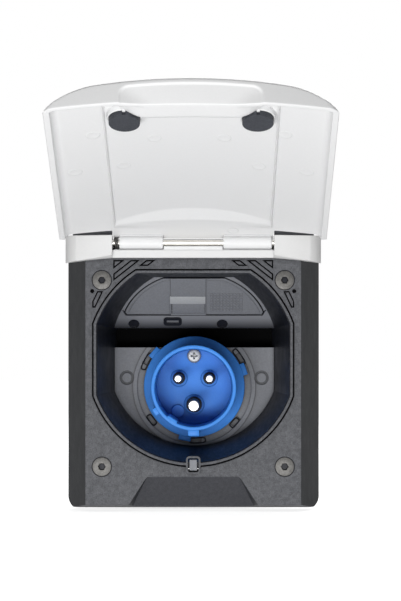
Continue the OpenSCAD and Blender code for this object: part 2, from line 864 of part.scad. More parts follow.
module rear_tub() {
  roof = tub_wall + cover_t;
  roof_y = roof * sin(ceiling_angle);
  roof_z = roof * cos(ceiling_angle);
  boss_y = carrier_back + fixing_grip + tub_wall;
  color(black)
    difference() {
      union() {
        intersection() {
          tub_form(-tub_wall);
          along_x(-far, far)
            polygon([
              [plate_y, -far], [tub_end, -far], [tub_end, carrier_top], [pocket_y + tub_wall, carrier_top],
              [pocket_y + tub_wall, ceiling_low_z + roof_z], [ceiling_low_y + roof_y, ceiling_low_z + roof_z],
              [ceiling_y + roof_y - roof_z, ceiling_z + roof_z + roof_y], [plate_y, far]
            ]);
        }
        difference() {
          along_y(-flange_y, -flange_y + flange_t) {
            opening_shape(tub_wall + flange_w);
            for (sx = [-1, 1]) {
              translate([sx * ear_top_x, ear_top_z])
                circle(r = ear_r);
              translate([sx * ear_low_x, -ear_low_z])
                circle(r = ear_r);
            }
          }
          at_mounting_screws()
            rod_y(-far, far, boss_r + hinge_gap, boss_r + hinge_gap);
        }
      }
      intersection() {
        tub_form(0);
        along_x(-far, far)
          polygon([
            [-far, -far], [carrier_back, -far], [carrier_back, carrier_top], [pocket_y, carrier_top],
            [pocket_y, ceiling_low_z], [ceiling_low_y, ceiling_low_z], [ceiling_y, ceiling_z],
            [ceiling_y, far], [-far, far]
          ]);
      }
      intersection() {
        tub_form(0);
        cover_slab(-cover_gap, -eps, cover_t);
      }
      difference() {
        intersection() {
          tub_form(ledge_w);
          block([-far, carrier_back - eps, -far], [far, chamber_y, carrier_top - shelf_t]);
        }
        at_carrier_screws()
          rod_y(carrier_back, boss_y, carrier_recess_r + eps, carrier_recess_r + eps);
      }
      at_carrier_screws()
        rod_y(carrier_back - eps, carrier_back + fixing_grip, fixing_r + seat_gap, fixing_r + seat_gap);
      at_tub_screws()
        rod_y(-far, far, fixing_r + seat_gap, fixing_r + seat_gap);
      on_ceiling()
        for (x = [-2.8 * latch_x, 1.3 * latch_x])
          translate([x, ceiling_l - dimple_r, -eps])
            cylinder(h = eps + cover_t / 2, r = dimple_r);
      inlet_axis()
        rod_y(carrier_back - eps, insert_back + collar_flange_t, collar_r + lug_h + eps, collar_r + lug_h + eps);
      rod_y(chamber_y - eps, tub_end + eps, gland_r + seat_gap, gland_r + seat_gap, 0, -gland_z);
    }
}

module fixing_screw(y_head, dir, grip) {
  y_tip = y_head - dir * grip;
  rod_y(min(y_tip, y_head), max(y_tip, y_head), fixing_r, fixing_r);
  rod_y(min(y_head, y_head + dir * fixing_head_h), max(y_head, y_head + dir * fixing_head_h),
    fixing_head_r, fixing_head_r);
}

module tub_screws() {
  color(steel)
    at_tub_screws()
      fixing_screw(tub_screw_y, 1, fixing_grip + flange_t);
}

module keeper_plates() {
  keeper_y = plate_y - keeper_t * 0.8;
  color(steel)
    at_keepers()
      rod_y(keeper_y, keeper_y + keeper_t, keeper_r, keeper_r);
}

module plug_catch() {
  color(anthracite)
    along_y(lip_y + catch_floor - catch_reach, lip_y + catch_floor)
      catch_outline(catch_frame + catch_gap);
}

function crown_y(x) = apex_y + crown_r - sqrt(pow(crown_r, 2) - pow(x, 2));

// The cross-section that the lid and the end blocks share: a crown with rounded edges.
module crown_shape(inset, y_back) {
  half = lid_half - inset;
  r = edge_r - inset;
  top = crown_y(lid_half - edge_r) - edge_step + inset;
  intersection() {
    translate([0, apex_y + crown_r])
      circle(r = crown_r - inset, $fn = 256);
    union() {
      translate([r - half, apex_y - eps])
        square([2 * (half - r), far]);
      translate([-half, top + r])
        square([2 * half, far]);
      for (sx = [-1, 1])
        translate([sx * (half - r), top + r])
          circle(r = r);
    }
    translate([-half - eps, apex_y - eps])
      square([2 * (half + eps), y_back - apex_y + eps]);
  }
}

module droop_disc(grow) {
  translate([0, droop_zc])
    circle(r = droop_r + grow, $fn = 256);
}

module hinge_rail() {
  steps = pin_l / 2;
  color(white)
    difference() {
      union() {
        difference() {
          along_z(rail_z - crown_h, rail_top)
            crown_shape(0, lid_rim_y);
          along_y(-far, far)
            intersection() {
              droop_disc(0);
              translate([-far, -far])
                square(2 * far);
            }
          block([-block_in, -far, -far], [block_in, far, far]);
          difference() {
            block([-far, -far, -far], [far, hinge_y, hinge_z]);
            hinge_rod(block_in - eps, lid_half + eps, rail_nose_in, rail_nose_out);
            mirror([1, 0, 0])
              hinge_rod(block_in - eps, lid_half + eps, rail_nose_in, rail_nose_out);
          }
        }
        block([-block_in - eps, front_y - rail_strip_t, rail_z],
          [block_in + eps, front_y + eps, rail_z + rail_strip_h]);
      }
      frame_form();
      hinge_rod(-steps, steps, pin_r + seat_gap, pin_r + seat_gap);
      at_rail_screws()
        rod_y(front_y - fixing_grip / 2, front_y + far, fixing_r + seat_gap, fixing_r + seat_gap);
    }
}

module rail_screws() {
  color(steel)
    at_rail_screws()
      fixing_screw(-rail_counterbore, 1, frame_depth - rail_counterbore + fixing_grip / 2);
}

module hinge_pin() {
  color(steel)
    hinge_rod(-pin_l / 2, pin_l / 2, pin_r, pin_r);
}

coil_r = pin_r + wire_r + 0.3;
coil_pitch = 2.1 * wire_r;
coil_x = -block_in + 1.8 * wire_r;
coil_sides = 8;
coil_steps = 16;
spring_turns = 2;

// The spring's centre line: a leg from the end block, then the turns round the pin.
function coil_point(t) = [coil_x + coil_pitch * t, coil_r * cos(360 * t - 90), coil_r * sin(360 * t - 90)];
function coil_path() = concat(
  [[-block_in, -coil_r * 0.7, -coil_r], [wire_r * 0.8 - block_in, -coil_r * 0.7, -coil_r]],
  [for (i = [0:coil_steps * spring_turns]) coil_point(i / coil_steps)]
);
function unit(v) = v / norm(v);
function path_dir(p, i) = unit(p[min(i + 1, len(p) - 1)] - p[max(i - 1, 0)]);
function ring_at(p, d) =
  let (a = unit(cross(d, [0.2, 1, 0.3])), b = cross(d, a))
  [for (k = [0:coil_sides - 1]) p + wire_r * (a * cos(360 * k / coil_sides) + b * sin(360 * k / coil_sides))];

module torsion_spring() {
  path = coil_path();
  last = len(path) - 1;
  dirs = [for (i = [0:last]) path_dir(path, i)];
  points = [for (i = [0:last]) each ring_at(path[i], dirs[i])];
  faces = concat(
    [[for (k = [0:coil_sides - 1]) k]],
    [for (i = [0:last - 1], k = [0:coil_sides - 1])
      let (n = (k + 1) % coil_sides)
      [i * coil_sides + n, i * coil_sides + k, (i + 1) * coil_sides + k, (i + 1) * coil_sides + n]],
    [[for (k = [coil_sides - 1:-1:0]) last * coil_sides + k]]
  );
  color(steel)
    translate([0, hinge_y, hinge_z])
      polyhedron(points, faces);
}

// Swings a shape from its shut position to the open one.
module lid_pose() {
  translate([0, hinge_y, hinge_z])
    rotate([-lid_open, 0, 0])
      translate([0, -hinge_y, -hinge_z])
        children();
}

// The lid's plan without its hinge edge.
module lid_plan(inset) {
  half = lid_half - inset;
  r = lid_corner_r - inset;
  intersection() {
    union() {
      translate([-half, lid_corner_z])
        square([2 * half, far]);
      translate([r - half, -lid_end])
        square([2 * (half - r), far]);
      for (sx = [-1, 1])
        translate([sx * (half - r), lid_corner_z])
          circle(r = r);
    }
    translate([0, lid_end_r - lid_end])
      circle(r = lid_end_r - inset, $fn = 256);
  }
}

module lid_plan_cut() {
  intersection() {
    lid_plan(0);
    union() {
      droop_disc(-hinge_gap);
      translate([-tongue_half, 0])
        square([2 * tongue_half, tongue_top]);
    }
  }
}

module lid_solid() {
  intersection() {
    along_z(-far, far)
      crown_shape(0, lid_rim_y);
    along_y(-far, far)
      lid_plan_cut();
  }
}

module lid_inside() {
  intersection() {
    along_z(-far, far)
      crown_shape(lid_wall, lid_rim_y + eps);
    along_y(-far, far)
      lid_plan(lid_wall);
  }
}

// The thicker pad that carries the barrels, with a ramp down to the crown.
module lid_pad() {
  foot_y = apex_y + lid_wall / 2;
  intersection() {
    lid_solid();
    along_x(-lid_rib_x, lid_rib_x)
      polygon([
        [apex_y - eps, far], [pad_y, far], [pad_y, hinge_z - pad_l],
        [foot_y, hinge_z - pad_l - ramp_l], [apex_y - eps, hinge_z - pad_l - ramp_l]
      ]);
  }
}

// The bowl behind the free edge, grown by its wall for the outside.
module scoop_form(grow) {
  floor_y = front_y + scoop_reach - scoop_wall + grow;
  far_z = scoop_l - lid_end + grow;
  low_z = -lid_end - 2 * eps;
  r = scoop_r + grow;
  wide = scoop_half_w + grow;
  intersection() {
    along_y(apex_y, far)
      polygon([
        [-wide, low_z], [wide, low_z], [scoop_floor_w + grow, far_z], [-scoop_floor_w - grow, far_z]
      ]);
    along_z(-far, far)
      polygon([
        [-wide, apex_y], [wide, apex_y], [scoop_lip_w + grow, floor_y], [-scoop_lip_w - grow, floor_y]
      ]);
    along_x(-far, far)
      union() {
        translate([apex_y, low_z])
          square([floor_y - apex_y, far_z - r - low_z]);
        translate([apex_y, low_z])
          square([floor_y - r - apex_y, far_z - low_z]);
        translate([floor_y - r, far_z - r])
          circle(r = r);
      }
  }
}

module cap_tab(grow) {
  w = cap_tab_w / 2 + grow;
  at_magnets()
    block([-w, apex_y, -cap_r - cap_tab_w], [w, cap_top_y - cap_tab_w / 2, cap_tab_w / 2 - cap_r + grow]);
}

module lid_shell() {
  rib_y = crown_y(lid_rib_x) + lid_wall;
  left_out = barrel_out - spring_room;
  spring_clear = coil_r + wire_r + hinge_gap / 2;
  color(white)
    lid_pose()
      difference() {
        union() {
          difference() {
            lid_solid();
            lid_inside();
          }
          lid_pad();
          both_sides()
            block([lid_rib_x - lid_rib_w / 2, rib_y - lid_wall / 2, lid_wall - lid_end],
              [lid_rib_x + lid_rib_w / 2, rib_y + lid_rib_h, rail_z - lid_wall]);
          intersection() {
            scoop_form(scoop_wall);
            along_z(-far, far)
              crown_shape(lid_wall / 2, front_y + scoop_reach + eps);
            along_y(-far, far)
              lid_plan(0);
          }
          intersection() {
            union() {
              at_magnets()
                rod_y(apex_y, cap_base_y, cap_r, cap_r);
              cap_tab(0);
            }
            along_z(-far, far)
              crown_shape(lid_wall / 2, front_y);
          }
          hinge_rod(barrel_in, barrel_out, barrel_r, barrel_r);
          hinge_rod(-left_out, -barrel_in, barrel_r, barrel_r);
          block([barrel_in, pad_y - eps, hinge_z - web_down], [barrel_out, hinge_y, tongue_top]);
          block([-left_out, pad_y - eps, hinge_z - web_down], [-barrel_in, hinge_y, tongue_top]);
        }
        intersection() {
          scoop_form(0);
          along_z(-far, far)
            crown_shape(lid_wall, front_y + far);
        }
        hinge_rod(-block_in, block_in, pin_r + run_gap, pin_r + run_gap);
        hinge_rod(-block_in, -left_out, spring_clear, spring_clear);
      }
}

module magnet_cap(side) {
  color(rubber)
    lid_pose()
      difference() {
        rod_y(cap_base_y, cap_top_y, cap_r, cap_r, side * magnet_x, -magnet_z);
        rod_y(cap_base_y - eps, cap_base_y + magnet_t, magnet_r + seat_gap, magnet_r + seat_gap,
          side * magnet_x, -magnet_z);
        cap_tab(seat_gap);
      }
}

module left_magnet_cap() {
  magnet_cap(-1);
}

module right_magnet_cap() {
  magnet_cap(1);
}

module lid_magnets() {
  color(steel)
    lid_pose()
      at_magnets()
        rod_y(cap_base_y, cap_base_y + magnet_t, magnet_r, magnet_r);
}

module inlet_axis() {
  translate([0, 0, -inlet_z])
    children();
}

// A straight bar standing out from a round piece.
module radial_bar(a, r0, r1, w, y0, y1) {
  at_angle(a)
    block([r0, y0, -w / 2], [r1, y1, w / 2]);
}

module inlet_carrier() {
  color(grey)
    difference() {
      intersection() {
        tub_form(panel_gap);
        union() {
          block([-far, carrier_y, -far], [far, carrier_back, carrier_top - panel_gap]);
          intersection() {
            inlet_axis()
              tube_y(carrier_y - ring_h, carrier_y + eps, ring_r + ring_w, ring_r);
            block([-far, -far, -far], [far, far, carrier_top - panel_gap]);
          }
        }
      }
      inlet_axis() {
        rod_y(0, far, collar_r + panel_gap, collar_r + panel_gap);
        for (a = lug_angles)
          radial_bar(a + lug_turn, collar_in, collar_r + lug_h + panel_gap, lug_w + 2 * panel_gap, 0, far);
        for (a = window_angles)
          radial_bar(a, inlet_flange_r + window_gap, ring_r, rib_w, 0, carrier_y + window_d);
        tube_y(carrier_y - eps, carrier_y + seal_t, seal_r + seal_w, seal_r);
      }
      at_carrier_screws() {
        rod_y(0, carrier_y + carrier_recess_d, carrier_recess_r, carrier_recess_r);
        rod_y(0, far, fixing_r + seat_gap, fixing_r + seat_gap);
      }
    }
}

module carrier_screws() {
  grip = fixing_grip + carrier_t - carrier_recess_d;
  color(steel)
    at_carrier_screws()
      fixing_screw(carrier_y + carrier_recess_d, -1, grip);
}

module service_cover() {
  strip_z = -strip_h;
  color(grey)
    difference() {
      intersection() {
        tub_form(cover_gap);
        union() {
          cover_slab(0, 0, cover_t);
          on_ceiling()
            block([-strip_x, cover_top, strip_z], [strip_w - strip_x, cover_top + cover_l, eps]);
        }
      }
      on_ceiling()
        along_x(cover_gap - strip_x, strip_w - strip_x - cover_gap)
          polygon([
            [grip_v, strip_z - eps], [grip_v, strip_z], [grip_v + grip_l / 3, grip_d],
            [grip_v + grip_l, grip_d], [grip_v + grip_l, strip_z - eps]
          ]);
    }
}

module cover_latch() {
  color(black)
    on_ceiling()
      translate([-latch_x, latch_v, -latch_t])
        linear_extrude(height = latch_t)
          difference() {
            rounded_rect(latch_w, latch_h, latch_h / 3);
            square([latch_w * 0.66, latch_h * 0.38], center = true);
          }
}

module inlet_shell() {
  flange_front = carrier_y - inlet_flange_t;
  shell_end = carrier_back + lug_t + panel_gap;
  bar_in = collar_r - collar_wall / 2;
  color(blue)
    inlet_axis()
      difference() {
        union() {
          rod_y(rim_y, shell_end, collar_r, collar_r);
          rod_y(flange_front, carrier_y, inlet_flange_r, inlet_flange_r);
          for (a = lug_angles) {
            radial_bar(a, bar_in, inlet_flange_r + lug_h * 0.8, lug_w, flange_front + lug_step, carrier_y);
            radial_bar(a, bar_in, collar_r + lug_h, lug_w, carrier_back + seat_gap, shell_end - lug_step);
          }
          radial_bar(earth_angle, bar_in, collar_r + rib_h, rib_w, rim_y + lug_step, carrier_y - lug_step);
          radial_bar(rib_angle, bar_in, collar_r + rib_h * 0.8, rib_w * 0.7, rim_y + lug_step, carrier_y - lug_step);
        }
        difference() {
          rod_y(rim_y - eps, shell_end + eps, collar_in, collar_in);
          tube_y(insert_y - seat_step, insert_y, bar_in, collar_in - seat_step);
          radial_bar(key_angle, collar_in - key_h, bar_in, rib_w, rim_y + lug_step, insert_y - key_short);
        }
      }
}

module inlet_gasket() {
  color(rubber)
    inlet_axis()
      tube_y(carrier_y, carrier_y + seal_t, seal_r + seal_w - seat_gap, seal_r + seat_gap);
}

module at_pin(a) {
  translate([pin_circle_r * cos(a), 0, pin_circle_r * sin(a) - inlet_z])
    children();
}

module pin_insert() {
  pins = [[line_angle, live_pin_r], [neutral_angle, live_pin_r], [earth_angle, earth_pin_r]];
  color(blue)
    difference() {
      inlet_axis()
        union() {
          rod_y(insert_y, insert_back, collar_in - seat_gap, collar_in - seat_gap);
          at_angle(key_angle)
            rod_y(insert_y - key_short / 2, insert_y + eps, key_boss_r, key_boss_r, key_boss_x);
        }
      for (p = pins)
        at_pin(p[0]) {
          rod_y(0, insert_y + pin_moat_d, p[1] + pin_moat, p[1] + pin_moat);
          rod_y(0, far, p[1] + pin_moat / 2 + seat_gap, p[1] + pin_moat / 2 + seat_gap);
          tube_y(0, insert_y + ring_line_d, p[1] + ring_line_r + ring_line_w, p[1] + ring_line_r);
        }
      rod_y(0, insert_back - insert_t / 4, fixing_r + seat_gap, fixing_r + seat_gap, 0, insert_screw_z - inlet_z);
    }
}

// A turned pin with a chamfered tip, a root in the insert, a shoulder behind it and a post.
module power_pin(a, r) {
  root_r = r + pin_moat / 2;
  root_y = insert_y + pin_moat_d - root_step;
  shoulder_y = insert_back + collar_flange_t;
  color(nickel)
    at_pin(a)
      rotate([-90, 0, 0])
        rotate_extrude()
          polygon([
            [0, pin_tip_y], [r - tip_chamfer * 0.7, pin_tip_y], [r, pin_tip_y + tip_chamfer], [r, root_y],
            [root_r, root_y], [root_r, insert_back], [root_r + tip_chamfer, insert_back],
            [root_r + tip_chamfer, shoulder_y], [post_r, shoulder_y], [post_r, shoulder_y + post_l],
            [0, shoulder_y + post_l]
          ]);
}

module line_pin() {
  power_pin(line_angle, live_pin_r);
}

module neutral_pin() {
  power_pin(neutral_angle, live_pin_r);
}

module earth_pin() {
  power_pin(earth_angle, earth_pin_r);
}

module insert_screw() {
  head_h = fixing_head_h * 1.6;
  cross_half = insert_head_r * 0.6;
  color(steel)
    translate([0, 0, insert_screw_z - inlet_z])
      difference() {
        union() {
          rod_y(insert_y - eps, insert_back - insert_t / 3, fixing_r, fixing_r);
          rod_y(insert_y - head_h, insert_y, insert_head_r, insert_head_r);
        }
        for (turn = [0, 90])
          rotate([0, turn, 0])
            block([-cross_half, insert_y - head_h - eps, -screw_slot / 2],
              [cross_half, insert_y - head_h / 2, screw_slot / 2]);
      }
}

// Calls children at each terminal, with X pointing away from the inlet's axis.
module at_terminals() {
  for (a = [line_angle, neutral_angle, earth_angle])
    at_pin(a)
      at_angle(a)
        children();
}

module bar_x(x0, x1, y, r) {
  translate([x0, y, 0])
    rotate([0, 90, 0])
      cylinder(h = x1 - x0, r = r);
}

module terminal_clamps() {
  y0 = insert_back + collar_flange_t;
  color(brass)
    at_terminals()
      difference() {
        rod_y(y0, y0 + clamp_l, clamp_r, clamp_r);
        rod_y(y0 - eps, y0 + post_l + seat_gap, post_r + seat_gap, post_r + seat_gap);
        rod_y(y0 + post_l, y0 + clamp_l + eps, wire_bore_r, wire_bore_r);
        bar_x(0, far, y0 + clamp_l - clamp_screw_l, fixing_r + seat_gap);
      }
}

module terminal_screws() {
  y = insert_back + collar_flange_t + clamp_l - clamp_screw_l;
  color(steel)
    at_terminals() {
      bar_x(wire_bore_r * 0.7, clamp_r + eps, y, fixing_r);
      bar_x(clamp_r, clamp_r + clamp_head_h, y, clamp_head_r);
    }
}

module gland_axis() {
  translate([0, 0, -gland_z])
    children();
}

module hex_y(y0, y1, r) {
  translate([0, y0, 0])
    rotate([-90, 0, 0])
      cylinder(h = y1 - y0, r = r, $fn = 6);
}

module gland_body() {
  neck_end = tub_end + gland_neck;
  color(black)
    gland_axis()
      difference() {
        union() {
          rod_y(chamber_y - gland_nut_h - eps, tub_end + eps, gland_r, gland_r);
          hex_y(tub_end, tub_end + gland_hex_h, gland_hex_r);
          rod_y(tub_end + eps, neck_end, gland_cap_r - gland_cap_wall - seat_gap, gland_cap_r - gland_cap_wall - seat_gap);
        }
        rod_y(0, far, cable_r + eps, cable_r + eps);
      }
}

module gland_locknut() {
  color(black)
    gland_axis()
      difference() {
        hex_y(chamber_y - gland_nut_h, chamber_y, gland_hex_r);
        rod_y(0, far, gland_r + seat_gap, gland_r + seat_gap);
      }
}

module gland_nut() {
  y0 = tub_end + gland_hex_h + root_step;
  neck_end = tub_end + gland_neck;
  cap_in = gland_cap_r - gland_cap_wall;
  color(black)
    gland_axis()
      difference() {
        rod_y(y0, neck_end + gland_seal_t + gland_cap_wall, gland_cap_r, gland_cap_r);
        rod_y(0, neck_end + gland_seal_t, cap_in, cap_in);
        rod_y(0, far, cable_r + eps, cable_r + eps);
      }
}

module gland_seal() {
  neck_end = tub_end + gland_neck;
  color(rubber)
    gland_axis()
      tube_y(neck_end, neck_end + gland_seal_t, gland_cap_r - gland_cap_wall - seat_gap, cable_r);
}

front_frame();
wall_gasket();
mounting_screws();
rear_tub();
tub_screws();
keeper_plates();
plug_catch();
hinge_rail();
rail_screws();
hinge_pin();
torsion_spring();
lid_shell();
left_magnet_cap();
right_magnet_cap();
lid_magnets();
inlet_carrier();
carrier_screws();
service_cover();
cover_latch();
inlet_shell();
inlet_gasket();
pin_insert();
line_pin();
neutral_pin();
earth_pin();
insert_screw();
terminal_clamps();
terminal_screws();
gland_body();
gland_locknut();
gland_nut();
gland_seal();
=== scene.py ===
"""Dresses the flush power inlet with its sprung white lid for a studio picture."""
import json
import logging
import math
from dataclasses import dataclass, field, replace
from enum import Enum
from typing import Any, Callable, Sequence

import bmesh
import bpy
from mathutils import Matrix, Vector


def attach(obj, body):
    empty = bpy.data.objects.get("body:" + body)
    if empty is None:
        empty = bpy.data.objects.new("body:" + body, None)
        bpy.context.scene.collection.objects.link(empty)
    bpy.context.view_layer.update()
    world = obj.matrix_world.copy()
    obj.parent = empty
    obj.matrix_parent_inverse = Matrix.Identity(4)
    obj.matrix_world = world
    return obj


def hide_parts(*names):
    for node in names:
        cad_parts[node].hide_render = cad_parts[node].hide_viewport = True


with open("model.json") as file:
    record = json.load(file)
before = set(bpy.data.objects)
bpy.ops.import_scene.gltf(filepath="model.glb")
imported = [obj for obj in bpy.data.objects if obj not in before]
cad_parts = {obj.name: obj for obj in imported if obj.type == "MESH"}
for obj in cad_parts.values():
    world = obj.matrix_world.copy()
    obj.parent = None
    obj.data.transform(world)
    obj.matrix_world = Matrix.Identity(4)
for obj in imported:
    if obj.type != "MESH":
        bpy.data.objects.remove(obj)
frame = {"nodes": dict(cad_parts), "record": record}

log = logging.getLogger("inlet")
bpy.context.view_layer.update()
MM = 0.001
HINGE = (-24.0, 71.2)  # Y and Z of the hinge axis in millimetres
Colour = tuple[float, float, float]
Point = tuple[float, float, float]
Mesh = bmesh.types.BMesh
Socket = bpy.types.NodeSocket


class Body(Enum):
    """The two rigid bodies that pieces ride on."""

    HOUSING = "housing"
    LID = "lid"


class Slot(Enum):
    """Material slots of the record."""

    FRAME = "anthracite"
    TUB = "black"
    LID = "white"
    PANEL = "grey"
    INLET = "blue"
    STEEL = "steel"
    NICKEL = "nickel"
    RUBBER = "rubber"
    BRASS = "brass"


class Effect(Enum):
    """Shader node groups that several finishes share."""

    GRAIN = "Mould grain"
    DUST = "Settled dust"
    WEAR = "Edge wear"
    ROUND = "Rounded edges"
    TURNED = "Turned lines"
    SCUFF = "Fine scuffs"
    GROOVE = "Groove shade"
    HOLLOW = "Hollow shade"
    DEPTH = "Depth shade"
    # SIDE is painted shade on faces that look sideways.
    SIDE = "Painted side shade"
    LEDGE = "Pale ledge"
    NOTCH = "Dark notch"


class Graph:
    """A short-hand for making and wiring nodes in one tree."""

    def __init__(self, tree: bpy.types.NodeTree) -> None:
        """Wraps a tree.

        Args:
            tree: The node tree of a material, a world or a group.
        """
        self.tree = tree

    def add(self, kind: str, **settings: Any) -> bpy.types.Node:
        """Makes one node.

        Args:
            kind: Blender's node type name.
            settings: Properties to set. One called inputs is a dict of values or sockets by input name or number.

        Returns:
            The new node.
        """
        node = self.tree.nodes.new(kind)
        inputs = settings.pop("inputs", {})
        for name, value in settings.items():
            setattr(node, name, value)
        for name, value in inputs.items():
            self.feed(node, name, value)
        return node

    def feed(self, node: bpy.types.Node, name: Any, value: Any) -> None:
        """Links an output socket to an input, or sets the input's own value.

        Args:
            node: The node that receives the value.
            name: Name or index of the input socket.
            value: An output socket, or a plain value.
        """
        if isinstance(value, bpy.types.NodeSocket):
            self.tree.links.new(value, node.inputs[name])
        else:
            node.inputs[name].default_value = value

    def math(self, operation: str, first: Any, second: Any = 0.0, clamp: bool = False) -> Socket:
        """Adds a Math node and returns its output socket."""
        node = self.add("ShaderNodeMath", operation=operation, use_clamp=clamp, inputs={0: first, 1: second})
        return node.outputs[0]

    def product(self, first: Any, *others: Any) -> Socket:
        """Multiplies values in their order and returns the output socket."""
        for other in others:
            first = self.math("MULTIPLY", first, other)
        return first

    def share(self, value: Any, low: Any, high: Any) -> Socket:
        """Returns how far a value lies between two others, from 0 to 1."""
        span = self.math("SUBTRACT", high, low)
        return self.math("DIVIDE", self.math("SUBTRACT", value, low), span, True)

    def within(self, value: Any, limit: Any) -> Socket:
        """Returns 1 where a value is nearer to zero than a limit, and 0 elsewhere."""
        return self.math("LESS_THAN", self.math("ABSOLUTE", value), limit)

    def ramp(self, value: Any, low: float, high: float, to_low: float = 0.0, to_high: float = 1.0) -> Socket:
        """Maps a value from one range to another, clamped, and returns the output socket."""
        limits = {"From Min": low, "From Max": high, "To Min": to_low, "To Max": to_high}
        return self.add("ShaderNodeMapRange", clamp=True, inputs={"Value": value, **limits}).outputs[0]

    def mix(self, factor: Any, first: Any, second: Any) -> Socket:
        """Mixes two colours and returns the output socket."""
        node = self.add("ShaderNodeMix", data_type="RGBA", inputs={0: factor, 6: first, 7: second})
        return node.outputs[2]

    def noise(self, vector: Any, scale: Any, detail: float = 2.0, rough: float = 0.5) -> Socket:
        """Adds a noise texture and returns its value socket."""
        values = {"Vector": vector, "Scale": scale, "Detail": detail, "Roughness": rough}
        return self.add("ShaderNodeTexNoise", inputs=values).outputs["Fac"]

    def spot(self) -> Socket:
        """Returns the socket with a point's place on the object."""
        return self.add("ShaderNodeTexCoord").outputs["Object"]

    def split(self, vector: Any) -> Any:
        """Splits a vector and returns its X, Y and Z sockets by name."""
        return self.add("ShaderNodeSeparateXYZ", inputs={0: vector}).outputs


def new_group(effect: Effect, inputs: dict[str, float], outputs: Sequence[str] = ("Mask",),
              kind: str = "NodeSocketFloat") -> tuple[Graph, Any, bpy.types.Node]:
    """Makes an empty shader node group with named sockets.

    Args:
        effect: The effect the group stands for.
        inputs: Input names with their default values.
        outputs: Output names.
        kind: The socket type of the outputs.

    Returns:
        The group's graph, its input sockets by name and its output node.
    """
    tree = bpy.data.node_groups.new(effect.value, "ShaderNodeTree")
    for name, value in inputs.items():
        socket = tree.interface.new_socket(name, in_out="INPUT", socket_type="NodeSocketFloat")
        socket.default_value = value
    for name in outputs:
        tree.interface.new_socket(name, in_out="OUTPUT", socket_type=kind)
    graph = Graph(tree)
    return graph, graph.add("NodeGroupInput").outputs, graph.add("NodeGroupOutput")


